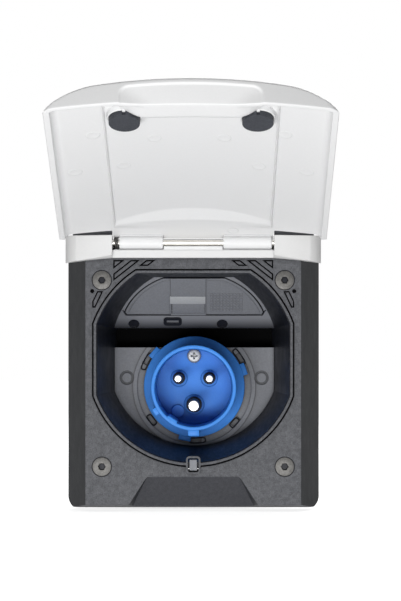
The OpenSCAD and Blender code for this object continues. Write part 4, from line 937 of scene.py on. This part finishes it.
    def loop_rows(self, index: int, outer: list[float], inner: list[float]) -> list[Point]:
        """Returns one column's whole loop: crown, end wall, rim and inside, back to the hinge."""
        x = outer[index]
        top = self.crown(x)
        end = self.free_end(x, 0.0)
        band = max(self.rim - top, 0.0)
        curve = min(self.crown_round, self.round_most[0] * band)
        foot = min(self.rim_round, self.round_most[1] * band)
        points: list[Point] = [(x, top, z) for z in reversed(self.rows(x, end + curve))]
        for k in range(1, self.round_steps[0] + 1):
            turn = 0.5 * math.pi * k / self.round_steps[0]
            points.append((x, top + curve * (1.0 - math.cos(turn)), end + curve * (1.0 - math.sin(turn))))
        back = self.pull(x, self.rim - foot)
        for k in range(1, self.wall_steps + 1):
            y = top + curve + (band - curve - foot) * k / self.wall_steps
            points.append((x, y, end + self.pull(x, y)))
        for k in range(1, self.round_steps[1] + 1):
            turn = 0.5 * math.pi * k / self.round_steps[1]
            points.append((x, self.rim - foot + foot * math.sin(turn), end + back + foot * (1.0 - math.cos(turn))))
        x = inner[index]
        end = self.free_end(x, self.wall) + back
        points += [(x, self.inside(x, z, end), z) for z in self.rows(x, end)]
        return points

    def shell(self, mesh: Mesh) -> None:
        """Lofts the closed shell from its columns."""
        outer = self.columns(self.crown)
        inner = self.columns(self.ceiling)
        columns = [self.loop_rows(k, outer, inner) for k in range(len(outer))]
        loops = [[mesh.verts.new(self.swing(point)) for point in column] for column in columns]
        count = len(loops[0])
        for left, right in zip(loops, loops[1:]):
            for k in range(count):
                n = (k + 1) % count
                mesh.faces.new((left[k], left[n], right[n], right[k]))
        rows = len(self.rows(0.0, 0.0))
        for loop, flip in ((loops[0], True), (loops[-1], False)):
            for k in range(rows - 1):
                corners = (loop[k], loop[k + 1], loop[count - 2 - k], loop[count - 1 - k])
                mesh.faces.new(tuple(reversed(corners)) if flip else corners)

    def swing(self, point: Point) -> Vector:
        """Turns a point of the shut lid to its open place, in metres."""
        turn = math.radians(-self.open_deg)
        y, z = point[1] - self.hinge[0], point[2] - self.hinge[1]
        along = (point[2] + self.end) / (self.end + self.droop_z)
        aside = smooth((abs(point[0]) - self.crown_half) / self.flare_run) * self.flare * along
        x = point[0] + math.copysign(aside, point[0])
        return MM * Vector((x, self.hinge[0] + y * math.cos(turn) - z * math.sin(turn),
                            self.hinge[1] + y * math.sin(turn) + z * math.cos(turn)))

    def on_hinge(self, point: Point) -> Vector:
        """Places a point that is local to the hinge axis."""
        return self.swing((point[0], point[1] + self.hinge[0], point[2] + self.hinge[1]))

    def fittings(self, mesh: Mesh) -> None:
        """Adds the barrels with their webs, the magnet seats and the small keys beside them."""
        bore, rim, edge = self.barrel_bore, self.barrel_r, self.barrel_edge
        for first, last in ((self.barrel_in, self.barrel_out), (-self.barrel_left, -self.barrel_in)):
            barrel: Profile = [(first, bore), (first, rim - edge), (first + edge, rim), (last - edge, rim),
                               (last, rim - edge), (last, bore)]
            lathe(mesh, barrel, self.barrel_sides, self.on_hinge, True)
            soft_box(mesh, (first, self.pad - self.web_sunk, self.hinge[1] - self.web_low),
                     (last, self.hinge[0] - bore - self.web_gap, self.tongue_top), self.web_edge, self.swing)
        cup, brim, thin = self.cup_r, self.cup_y, self.cup_r - self.cup_wall
        foot, low = self.seat_y - self.cup_sunk, -self.magnet_z - self.seat_r
        inner, outer = self.cup_edge
        ring: Profile = [(foot, thin), (brim - inner, thin), (brim, thin + inner), (brim, cup - outer),
                         (brim - outer, cup), (foot, cup)]
        for side in (-1.0, 1.0):
            centre = side * self.magnet_x

            def seat(point: Point, x: float = centre) -> Vector:
                """Places a point of a seat, whose axis is the lid's Y."""
                return self.swing((x + point[1], point[0], point[2] - self.magnet_z))

            lathe(mesh, around(self.seat_y, self.seat_r, self.seat_steps), self.seat_sides, seat, False)
            lathe(mesh, ring, self.seat_sides, seat, True)
            soft_box(mesh, (centre - self.key_half, self.seat_y - self.key_sunk, low + self.key_span[0]),
                     (centre + self.key_half, brim + self.key_rise, low + self.key_span[1]), self.key_edge, self.swing)

    def build(self, workshop: Workshop) -> None:
        """Makes the lid in place of its CAD solid."""
        mesh = bmesh.new()
        self.shell(mesh)
        self.fittings(mesh)
        workshop.piece("lid_dome", mesh, Body.LID, Slot.LID, "lid_shell")


@dataclass
class LidMarks:
    """Faint round marks that the mould's ejector pins leave inside the lid."""

    lid: LidDome
    places: Offsets = ((-47.9, -40.0), (-18.3, -32.0), (16.1, -32.0), (45.7, -40.0), (-34.5, -7.0), (33.8, -6.0),
                       (-58.0, -6.0), (57.0, -6.0))
    radius: float = 3.4
    disc_steps: Offsets = ((-0.3, 0.0), (0.02, 0.0), (0.05, -0.15), (0.05, -0.7), (0.01, -1.0), (0.01, -3.0))
    disc_sides: int = 36
    ring_at: tuple[float, float] = (21.6, 64.0)
    ring_steps: Offsets = ((-0.2, 2.6), (0.12, 2.6), (0.2, 2.8), (0.2, 3.0), (0.12, 3.2), (-0.2, 3.2))
    ring_sides: int = 40

    def build(self, workshop: Workshop) -> None:
        """Makes the marks and one plain mould ring on the tongue."""
        mesh = bmesh.new()
        for x, z in self.places:
            self.disc(mesh, x, z)
        self.ring(mesh)
        workshop.piece("lid_ejector_marks", mesh, Body.LID, Slot.LID)

    def disc(self, mesh: Mesh, x: float, z: float) -> None:
        """Adds one low disc that follows the crown."""
        lid = self.lid

        def seat(point: Point) -> Vector:
            """Places a point of the disc, whose axis is the lid's Y."""
            return lid.swing((x + point[1], lid.ceiling(x + point[1]) + point[0], z + point[2]))

        lathe(mesh, around(0.0, self.radius, self.disc_steps), self.disc_sides, seat, False)

    def ring(self, mesh: Mesh) -> None:
        """Adds the raised ring."""
        lid = self.lid
        x, z = self.ring_at

        def seat(point: Point) -> Vector:
            """Places a point of the ring on the tongue's pad."""
            return lid.swing((x + point[1], lid.pad + point[0], z + point[2]))

        lathe(mesh, list(self.ring_steps), self.ring_sides, seat, True)


@dataclass
class HingeSpring:
    """The torsion spring beside the left barrel, as a smooth wire."""

    wire_r: float = 0.5
    coil_r: float = 2.4
    pitch: float = 1.05
    start_x: float = -43.1
    block_x: float = -44.0
    leg_run: float = 0.4
    leg_side: float = -0.7
    turns: int = 2
    steps: int = 40
    sides: int = 12
    axis: tuple[float, float] = HINGE

    def path(self) -> list[Vector]:
        """Returns the wire's centre line in millimetres."""
        leg = [(self.block_x + run, self.leg_side * self.coil_r, -self.coil_r) for run in (0.0, self.leg_run)]
        coil = []
        for k in range(self.turns * self.steps + 1):
            share = k / self.steps
            turn = 2.0 * math.pi * share - 0.5 * math.pi
            coil.append((self.start_x + self.pitch * share, self.coil_r * math.cos(turn), self.coil_r * math.sin(turn)))
        return [Vector((x, y + self.axis[0], z + self.axis[1])) for x, y, z in leg + coil]

    def build(self, workshop: Workshop) -> None:
        """Sweeps the wire along its path."""
        mesh = bmesh.new()
        wire(mesh, self.path(), self.wire_r, self.sides, False)
        workshop.piece("hinge_spring_wire", mesh, Body.HOUSING, Slot.STEEL, "torsion_spring")


@dataclass
class CoverDetail:
    """Detail on the service cover: a border bead, a grip band that is a little glossier and painted paler as painted
    light, a grid of small pads and a dark seam.
    """

    origin: tuple[float, float] = (24.0, 55.0)
    slope_deg: float = 50.4
    arc_r: float = 40.7
    arc_v: float = 40.0
    bead_top: float = 2.6
    bead_low: float = 26.0
    bead_r: float = 0.24
    bead_steps: int = 24
    bead_sides: int = 10
    grip: tuple[float, float] = (-14.0, 6.6)
    grip_v: tuple[float, float, float] = (14.0, 19.3, 26.3)
    grip_rise: tuple[float, float] = (0.62, 0.5)
    grip_edge: tuple[float, float] = (0.15, 0.1)
    grip_sunk: float = 1.0
    grip_lap: float = 0.1
    seam: Offsets = ((-41.5, 24.0), (-40.0, 27.5), (40.0, 27.5), (41.5, 24.0))
    dark_line_r: float = 0.36
    seam_rise: float = 0.1
    dark_line_sides: int = 8
    grid_low: tuple[float, float] = (9.4, 12.0)
    grid_pitch: float = 1.92
    grid_count: tuple[int, int] = (10, 7)
    pad: float = 1.45
    pad_rise: float = 0.16
    pad_sunk: float = 0.2
    pad_edge: float = 0.1

    def on_cover(self, point: Point) -> Vector:
        """Places a point given across the cover, down its slope and out of its face."""
        turn = math.radians(self.slope_deg)
        down = (math.cos(turn), -math.sin(turn))
        out = (-math.sin(turn), -math.cos(turn))
        return MM * Vector((point[0], self.origin[0] + point[1] * down[0] + point[2] * out[0],
                            self.origin[1] + point[1] * down[1] + point[2] * out[1]))

    def bead_path(self) -> list[Vector]:
        """Returns the bead's centre line in millimetres, from the lower left over the top to the lower right."""
        side = []
        for k in range(self.bead_steps + 1):
            down = self.bead_low + (self.bead_top - self.bead_low) * k / self.bead_steps
            side.append((math.sqrt(self.arc_r ** 2 - (self.arc_v - down) ** 2), down))
        whole = [(-x, v) for x, v in side] + [(x, v) for x, v in reversed(side)]
        return [self.on_cover((x, v, 0.0)) / MM for x, v in whole]

    def build(self, workshop: Workshop) -> None:
        """Makes the bead, the grid, the grip and the seam on the cover."""
        left, right = self.grip
        top, middle, low = self.grip_v
        mesh = bmesh.new()
        wire(mesh, self.bead_path(), self.bead_r, self.bead_sides, False)
        for column in range(self.grid_count[0]):
            for row in range(self.grid_count[1]):
                x = self.grid_low[0] + column * self.grid_pitch
                y = self.grid_low[1] + row * self.grid_pitch
                soft_box(mesh, (x, y, -self.pad_sunk), (x + self.pad, y + self.pad, self.pad_rise), self.pad_edge,
                         self.on_cover)
        soft_box(mesh, (left, middle - self.grip_lap, -self.grip_sunk), (right, low, self.grip_rise[1]),
                 self.grip_edge[1], self.on_cover)
        workshop.piece("cover_bead_and_grid", mesh, Body.HOUSING, Slot.PANEL)
        # The upper grip band wears the paler grey as painted light.
        mesh = bmesh.new()
        soft_box(mesh, (left, top, -self.grip_sunk), (right, middle, self.grip_rise[0]), self.grip_edge[0],
                 self.on_cover)
        workshop.piece("cover_grip_painted_light", mesh, Body.HOUSING, Slot.PANEL, finish=PAINTED_GRIP_LIGHT)
        mesh = bmesh.new()
        path = [self.on_cover((x, v, self.seam_rise)) / MM for x, v in self.seam]
        wire(mesh, path, self.dark_line_r, self.dark_line_sides, False)
        workshop.piece("cover_seam", mesh, Body.HOUSING, Slot.TUB)


@dataclass(frozen=True)
class Ridge:
    """A lug, rib or key on the collar, repeated at some angles. Sizes are in millimetres."""

    turns: tuple[float, ...]
    out: tuple[float, float]
    along: tuple[float, float]
    half: float
    edge: float


@dataclass
class Inlet:
    """The round inlet: its collar with lugs and ribs, its pins darkened with dull steel as painted shade, with bright
    tips and dark sleeves of painted shade, and dark outlines of painted shade at the windows.
    """

    axis_z: float = -8.3
    rim: float = 1.0
    face: float = 46.0
    back: float = 49.0
    end: float = 54.1
    collar: float = 24.0
    bore: float = 21.8
    flange: float = 29.5
    flange_edge: Offsets = ((0.5, 0.0), (0.15, -0.15), (0.0, -0.5))
    collar_foot: Offsets = ((0.0, 0.8), (-0.25, 0.25), (-0.8, 0.0))
    rim_outside: Offsets = ((0.7, 0.0), (0.2, -0.2), (0.0, -0.65))
    rim_inside: Offsets = ((0.0, 0.65), (0.2, 0.2), (0.7, 0.0))
    collar_sides: int = 160
    front_lugs: Ridge = Ridge((19.5, 139.5, 259.5), (23.0, 32.1), (46.4, 48.98), 3.6, 0.45)
    rear_lugs: Ridge = Ridge((30.0, 150.0, 270.0), (23.0, 27.2), (52.05, 53.7), 3.6, 0.3)
    wide_rib: Ridge = Ridge((270.0,), (23.0, 27.0), (1.4, 48.6), 3.2, 0.5)
    slim_rib: Ridge = Ridge((212.0,), (23.0, 26.4), (1.4, 48.6), 2.2, 0.5)
    inner_key: Ridge = Ridge((236.0,), (20.5, 22.9), (1.05, 38.0), 3.4, 0.9)
    # Angles and half widths of the dark outlines that paint the shade at the windows.
    shade_outlines: Offsets = ((33.5, 5.2), (152.0, 5.2), (218.0, 3.4), (273.5, 4.6), (318.0, 3.0))
    dark_line_r: tuple[float, float] = (30.2, 33.2)
    outline_wire: float = 0.42
    outline_sunk: float = 0.1
    outline_power: float = 0.45
    outline_steps: int = 48
    dark_line_sides: int = 8
    pin_circle: float = 10.2
    pins: tuple[tuple[str, float, float], ...] = (
        ("line_pin", 150.0, 2.5), ("neutral_pin", 30.0, 2.5), ("earth_pin", 270.0, 3.5))
    pin_front: float = 7.5
    pin_nose: Offsets = ((0.0, -1.0), (0.06, -0.8), (0.4, -0.45), (0.8, -0.18), (1.3, 0.0))
    tip_nose: Offsets = ((-0.1, -1.1), (-0.04, -0.75), (0.3, -0.42), (0.9, -0.3))
    pin_seat: float = 48.5
    pin_root: float = 0.45
    pin_head: tuple[float, float] = (55.0, 57.0)
    pin_head_rim: float = 1.2
    pin_tail: tuple[float, float] = (64.0, 2.2)
    pin_sides: int = 64
    # The dark sleeve that paints the shade round each pin.
    shade_sleeve: Offsets = ((43.1, 0.02), (43.1, 1.0), (36.3, 1.0), (36.0, 0.8), (36.0, 0.02))

    def turned(self, degrees: float) -> Place:
        """Returns a placing for points given outward, along the axis and sideways at one angle."""
        cosine, sine = math.cos(math.radians(degrees)), math.sin(math.radians(degrees))

        def place(point: Point) -> Vector:
            """Places one point."""
            out, along, side = point
            return MM * Vector((out * cosine - side * sine, along, out * sine + side * cosine + self.axis_z))
        return place

    def shell(self, workshop: Workshop) -> None:
        """Makes the collar and its flange with rounded edges, lugs, ribs and the key."""
        mesh = bmesh.new()
        inner, outer, wide = self.bore, self.collar, self.flange
        profile: Profile = [(self.end, inner), (self.end, outer), (self.back, outer), (self.back, wide)]
        profile += around(self.face, wide, self.flange_edge) + around(self.face, outer, self.collar_foot)
        profile += around(self.rim, outer, self.rim_outside) + around(self.rim, inner, self.rim_inside)
        lathe(mesh, profile, self.collar_sides, into_wall(0.0, self.axis_z), True)
        for ridge in (self.front_lugs, self.rear_lugs, self.wide_rib, self.slim_rib, self.inner_key):
            for turn in ridge.turns:
                soft_box(mesh, (ridge.out[0], ridge.along[0], -ridge.half), (ridge.out[1], ridge.along[1], ridge.half),
                         ridge.edge, self.turned(turn))
        workshop.piece("inlet_collar", mesh, Body.HOUSING, Slot.INLET, "inlet_shell")

    def pin(self, workshop: Workshop, node: str, degrees: float, radius: float) -> None:
        """Makes one turned pin in place of its CAD solid, darkened with dull steel as painted shade, its bright tip and
        a dark sleeve of painted shade round it.
        """
        turn = math.radians(degrees)
        place = into_wall(self.pin_circle * math.cos(turn), self.pin_circle * math.sin(turn) + self.axis_z)
        root, (head, foot), (end, tail) = radius + self.pin_root, self.pin_head, self.pin_tail
        collar = root + self.pin_head_rim
        profile = around(self.pin_front, radius, self.pin_nose)
        profile += [(self.pin_seat, radius), (self.pin_seat, root), (head, root), (head, collar), (foot, collar),
                    (foot, tail), (end, tail)]
        mesh = bmesh.new()
        lathe(mesh, profile, self.pin_sides, place, False)
        # The shaft wears dull steel instead of nickel, as painted shade on the pin's sides.
        workshop.piece(f"turned_{node}", mesh, Body.HOUSING, Slot.NICKEL, node, FINISHES[Slot.STEEL])
        mesh = bmesh.new()
        lathe(mesh, around(self.pin_front, radius, self.tip_nose), self.pin_sides, place, False)
        workshop.piece(f"tip_of_{node}", mesh, Body.HOUSING, Slot.NICKEL)
        # A dark sleeve round the pin paints the shade in its hole.
        mesh = bmesh.new()
        lathe(mesh, around(0.0, radius, self.shade_sleeve), self.pin_sides, place, True)
        workshop.piece(f"shade_sleeve_of_{node}", mesh, Body.HOUSING, Slot.TUB)

    def squared(self, value: float) -> float:
        """Pushes a sine or cosine outward, so that a circle becomes a rounded box."""
        return math.copysign(abs(value) ** self.outline_power, value)

    def window_shade_outlines(self, workshop: Workshop) -> None:
        """Makes the dark outlines of painted shade at the windows beside the lugs."""
        mesh = bmesh.new()
        middle = 0.5 * (self.dark_line_r[0] + self.dark_line_r[1])
        depth = 0.5 * (self.dark_line_r[1] - self.dark_line_r[0])
        plane = self.back - self.outline_sunk
        for degrees, half in self.shade_outlines:
            path = []
            for turn in circle(self.outline_steps):
                across = self.squared(math.cos(turn)) * half
                out = middle + self.squared(math.sin(turn)) * depth
                angle = math.radians(degrees) + across / middle
                path.append(Vector((out * math.cos(angle), plane, out * math.sin(angle) + self.axis_z)))
            wire(mesh, path, self.outline_wire, self.dark_line_sides, True)
        workshop.piece("window_shade_outlines", mesh, Body.HOUSING, Slot.TUB)

    def build(self, workshop: Workshop) -> None:
        """Makes every piece of the inlet."""
        self.shell(workshop)
        for node, degrees, radius in self.pins:
            self.pin(workshop, node, degrees, radius)
        self.window_shade_outlines(workshop)


@dataclass
class Screws:
    """Mounting screws with hexagon sockets, dark rings and socket floors of painted shade at them, and the insert's
    screw with four lobes.
    """

    half_x: float = 50.0
    half_z: float = 51.0
    face: float = -22.0
    head: float = 5.3
    head_edge: Offsets = ((0.02, -0.3), (0.1, -0.1), (0.25, -0.25))
    shank: float = 2.5
    neck: float = 2.3
    neck_step: tuple[float, float] = (0.2, -0.02)
    thread_from: float = -0.7
    stud: float = 22.0
    stud_edge: float = 0.5
    socket: float = 4.0
    socket_depth: float = 2.2
    socket_lead: float = 0.35
    socket_foot: float = 0.9
    socket_steps: tuple[float, float, float, float] = (0.4, -0.1, 0.2, 0.02)
    centre: float = 0.2
    sides: int = 60
    ring_gap: float = 0.1
    ring_sunk: float = 0.05
    ring_wire: float = 0.2
    ring_steps: int = 48
    ring_sides: int = 8
    socket_shade_play: float = 0.12
    socket_shade_span: tuple[float, float] = (-0.4, 0.1)
    insert_z: float = 9.75
    insert_face: float = 43.0
    insert_head: float = 4.05
    insert_height: float = 2.4
    insert_crown: Offsets = ((0.02, -1.1), (0.2, -0.5), (0.55, -0.15), (1.0, 0.0))
    insert_lobes: tuple[tuple[float, float, float], ...] = ((1.2, 0.5, 1.3), (0.15, 0.9, 1.9), (0.0, 1.05, 2.1))
    insert_floor: float = 1.3
    insert_seat: float = 0.02
    insert_shank: tuple[float, float] = (51.0, 1.5)
    insert_sides: int = 72

    def build(self, workshop: Workshop) -> None:
        """Makes the four mounting screws, their rings and socket floors of painted shade, and the insert's screw."""
        corners = [(x, z) for x in (-self.half_x, self.half_x) for z in (-self.half_z, self.half_z)]
        mesh = bmesh.new()
        for x, z in corners:
            self.mounting(mesh, x, z)
        workshop.piece("socket_screws", mesh, Body.HOUSING, Slot.STEEL, "mounting_screws")
        mesh = bmesh.new()
        for x, z in corners:
            self.shadow(mesh, x, z)
        workshop.piece("screw_shadow_rings", mesh, Body.HOUSING, Slot.TUB)
        mesh = bmesh.new()
        self.insert(mesh)
        workshop.piece("insert_lobe_screw", mesh, Body.HOUSING, Slot.STEEL, "insert_screw", PLATED)

    def mounting(self, mesh: Mesh, x: float, z: float) -> None:
        """Adds one countersunk screw."""
        face, floor, cone = self.face, self.face + self.socket_depth, self.face + self.head - self.shank
        step, play = self.neck_step
        point, heel, mouth, lead = self.socket_steps
        profile: Profile = [
            (floor + point, self.centre), (floor, hexagon(self.socket * self.socket_foot)),
            (floor + heel, hexagon(self.socket)), (face + mouth, hexagon(self.socket)),
            (face + lead, hexagon(self.socket + self.socket_lead))]
        profile += around(face, self.head, self.head_edge)
        profile += [
            (cone, self.shank + play), (cone + step, self.neck), (self.thread_from, self.neck),
            (self.thread_from, self.shank), (self.stud - self.stud_edge, self.shank),
            (self.stud, self.shank - self.stud_edge)]
        lathe(mesh, profile, self.sides, into_wall(x, z), False)

    def shadow(self, mesh: Mesh, x: float, z: float) -> None:
        """Adds the dark ring of painted shadow round one head and the dark floor of painted shade in its socket."""
        ring, sunk = self.head + self.ring_gap, self.face + self.ring_sunk
        path = [Vector((x + ring * math.cos(t), sunk, z + ring * math.sin(t))) for t in circle(self.ring_steps)]
        wire(mesh, path, self.ring_wire, self.ring_sides, True)
        floor, shape = self.face + self.socket_depth, hexagon(self.socket - self.socket_shade_play)
        top, foot = floor + self.socket_shade_span[0], floor + self.socket_shade_span[1]
        lathe(mesh, [(top, self.centre), (top, shape), (foot, shape)], self.sides, into_wall(x, z), False)

    def insert(self, mesh: Mesh) -> None:
        """Adds the insert's pan-head screw."""
        top, seat = self.insert_face - self.insert_height, self.insert_face - self.insert_seat
        end, shank = self.insert_shank
        profile: Profile = [(top + self.insert_floor, self.centre)]
        profile += [(top + depth, lobed(inner, outer)) for depth, inner, outer in self.insert_lobes]
        profile += around(top, self.insert_head, self.insert_crown)
        profile += [(seat, self.insert_head), (seat, shank), (end, shank)]
        lathe(mesh, profile, self.insert_sides, into_wall(0.0, self.insert_z), False)


@dataclass
class RailFill:
    """White filling behind the hinge pin and a grey block of painted shade behind each end block, as low and high
    corners with an edge.
    """

    block: tuple[Point, Point, float] = ((-16.1, -26.0, 66.8), (16.1, -19.6, 69.4), 0.3)
    floor: tuple[Point, Point, float] = ((-43.4, -26.1, 66.8), (43.4, -19.6, 67.5), 0.15)
    liner: tuple[Point, Point, float] = ((-43.4, -19.95, 66.8), (43.4, -19.55, 71.5), 0.1)
    left_shade_block: tuple[Point, Point, float] = ((-66.0, -20.2, 74.0), (-44.3, -18.9, 78.2), 0.4)
    right_shade_block: tuple[Point, Point, float] = ((44.3, -20.2, 74.0), (66.0, -18.9, 78.2), 0.4)

    def build(self, workshop: Workshop) -> None:
        """Makes the block and the floor under the pin, the liner behind the barrels and the grey blocks of painted
        shade.
        """
        mesh = bmesh.new()
        for low, high, edge in (self.block, self.floor, self.liner):
            soft_box(mesh, low, high, edge, to_metres)
        workshop.piece("rail_filling", mesh, Body.HOUSING, Slot.LID)
        mesh = bmesh.new()
        # Grey blocks that paint the lid's shade in the gap behind the end blocks.
        for low, high, edge in (self.left_shade_block, self.right_shade_block):
            soft_box(mesh, low, high, edge, to_metres)
        workshop.piece("rail_shade_blocks", mesh, Body.HOUSING, Slot.RUBBER, finish=FINISHES[Slot.PANEL])


@dataclass(frozen=True)
class Lamp:
    """One soft rectangular lamp. Places and sizes are in metres, and the power is in watts."""

    name: str
    place: Point
    target: Point
    size: tuple[float, float]
    power: float

    def build(self) -> None:
        """Hangs the lamp and turns it to its target."""
        data = bpy.data.lights.new(self.name, "AREA")
        data.shape = "RECTANGLE"
        data.size, data.size_y = self.size
        data.energy = self.power
        lamp = bpy.data.objects.new(self.name, data)
        lamp.location = self.place
        lamp.rotation_euler = (Vector(self.target) - Vector(self.place)).to_track_quat("-Z", "Y").to_euler()
        bpy.context.scene.collection.objects.link(lamp)


@dataclass
class Studio:
    """The floor, the world, the lamps and the camera.

    The key lamp hangs low, under a floor that lets its light through. A weak fill hangs behind the camera, and a soft
    lamp above and behind the object.
    """

    floor_z: float = -0.0756
    floor_size: float = 12.0
    camera_at: Point = (0.008, -0.981, 0.00735)
    lens: float = 105.1
    shift: tuple[float, float] = (-0.0123, 0.099)
    ambient: float = 0.15
    white_from: float = 0.25
    white_at: float = 0.75
    glow: tuple[float, float] = (0.8, 1.0)
    floor_greys: tuple[float, float] = (0.86, 0.9)
    floor_rough: float = 0.9
    cloud: tuple[float, float] = (3.0, 4.0)
    lamps: tuple[Lamp, ...] = (
        Lamp("key_low", (-0.07, -0.68, -0.16), (0.0, 0.0, 0.04), (0.42, 0.13), 4.15),
        Lamp("fill_front", (-0.1, -1.5, -0.3), (0.0, 0.0, 0.04), (0.8, 0.4), 2.0),
        Lamp("back_soft", (0.25, 0.9, 0.8), (0.0, 0.0, 0.06), (0.9, 0.6), 9.0))
    sensor: float = 36.0
    near: float = 0.05

    def build(self) -> None:
        """Makes the whole studio."""
        self.floor()
        self.world()
        for lamp in self.lamps:
            lamp.build()
        self.camera()

    def floor(self) -> None:
        """Lays a pale floor that shows white to the camera and keeps the shadow."""
        mesh = bpy.data.meshes.new("studio_floor")
        half = self.floor_size / 2
        corners = [(x * half, y * half, self.floor_z) for x, y in ((-1, -1), (1, -1), (1, 1), (-1, 1))]
        mesh.from_pydata(corners, [], [(0, 1, 2, 3)])
        plane = bpy.data.objects.new("studio_floor", mesh)
        bpy.context.scene.collection.objects.link(plane)
        material = bpy.data.materials.new("pale_floor")
        material.use_nodes = True
        graph = Graph(material.node_tree)
        shader = material.node_tree.nodes["Principled BSDF"]
        place = graph.spot()
        low, high = ((grey, grey, grey, 1.0) for grey in self.floor_greys)
        graph.feed(shader, "Base Color", graph.mix(graph.noise(place, *self.cloud), low, high))
        shader.inputs["Roughness"].default_value = self.floor_rough
        shader.inputs["Emission Color"].default_value = (1.0, 1.0, 1.0, 1.0)
        seen, rays = self.white_rays(graph)
        away = graph.add("ShaderNodeVectorMath", operation="LENGTH", inputs={0: place})
        glow = graph.ramp(away.outputs["Value"], self.white_from, self.white_at, *self.glow)
        graph.feed(shader, "Emission Strength", graph.product(rays, glow))
        clear = graph.add("ShaderNodeBsdfTransparent")
        blend = graph.add("ShaderNodeMixShader", inputs={
            0: seen["Is Shadow Ray"], 1: shader.outputs[0], 2: clear.outputs[0]})
        graph.feed(material.node_tree.nodes["Material Output"], "Surface", blend.outputs[0])
        mesh.materials.append(material)

    def world(self) -> None:
        """A white world to the camera and a softer one to the object."""
        world = bpy.data.worlds.new("studio_world")
        bpy.context.scene.world = world
        world.use_nodes = True
        graph = Graph(world.node_tree)
        shader = world.node_tree.nodes["Background"]
        _, rays = self.white_rays(graph)
        shader.inputs["Color"].default_value = (1.0, 1.0, 1.0, 1.0)
        strength = graph.add("ShaderNodeMix", data_type="FLOAT", inputs={0: rays, 2: self.ambient, 3: 1.0})
        graph.feed(shader, "Strength", strength.outputs[0])

    @staticmethod
    def white_rays(graph: Graph) -> tuple[Any, Socket]:
        """Returns the Light Path's sockets and a mask of the rays that see a white background."""
        seen = graph.add("ShaderNodeLightPath").outputs
        bounced = graph.math("MAXIMUM", seen["Is Glossy Ray"], seen["Is Transmission Ray"])
        return seen, graph.math("MAXIMUM", seen["Is Camera Ray"], bounced)

    def camera(self) -> None:
        """Sets the camera at the photograph's place and angle."""
        data = bpy.data.cameras.new("photo_camera")
        data.lens = self.lens
        data.sensor_width = self.sensor
        data.shift_x, data.shift_y = self.shift
        data.clip_start = self.near
        camera = bpy.data.objects.new("photo_camera", data)
        camera.location = self.camera_at
        camera.rotation_euler = (math.radians(90.0), 0.0, 0.0)
        bpy.context.scene.collection.objects.link(camera)
        bpy.context.scene.camera = camera


def main() -> None:
    """Builds the studio, dresses the CAD nodes and builds every piece."""
    logging.basicConfig(level=logging.INFO, format="%(name)s: %(message)s")
    bpy.context.scene.view_settings.view_transform = "Standard"
    Studio().build()
    dressing = CadDressing(Effects())
    dressing.dress()
    workshop = Workshop(dressing)
    lid = LidDome()
    lid.build(workshop)
    LidMarks(lid).build(workshop)
    HingeSpring().build(workshop)
    CoverDetail().build(workshop)
    Inlet().build(workshop)
    Screws().build(workshop)
    RailFill().build(workshop)


if __name__ == "__main__":
    main()
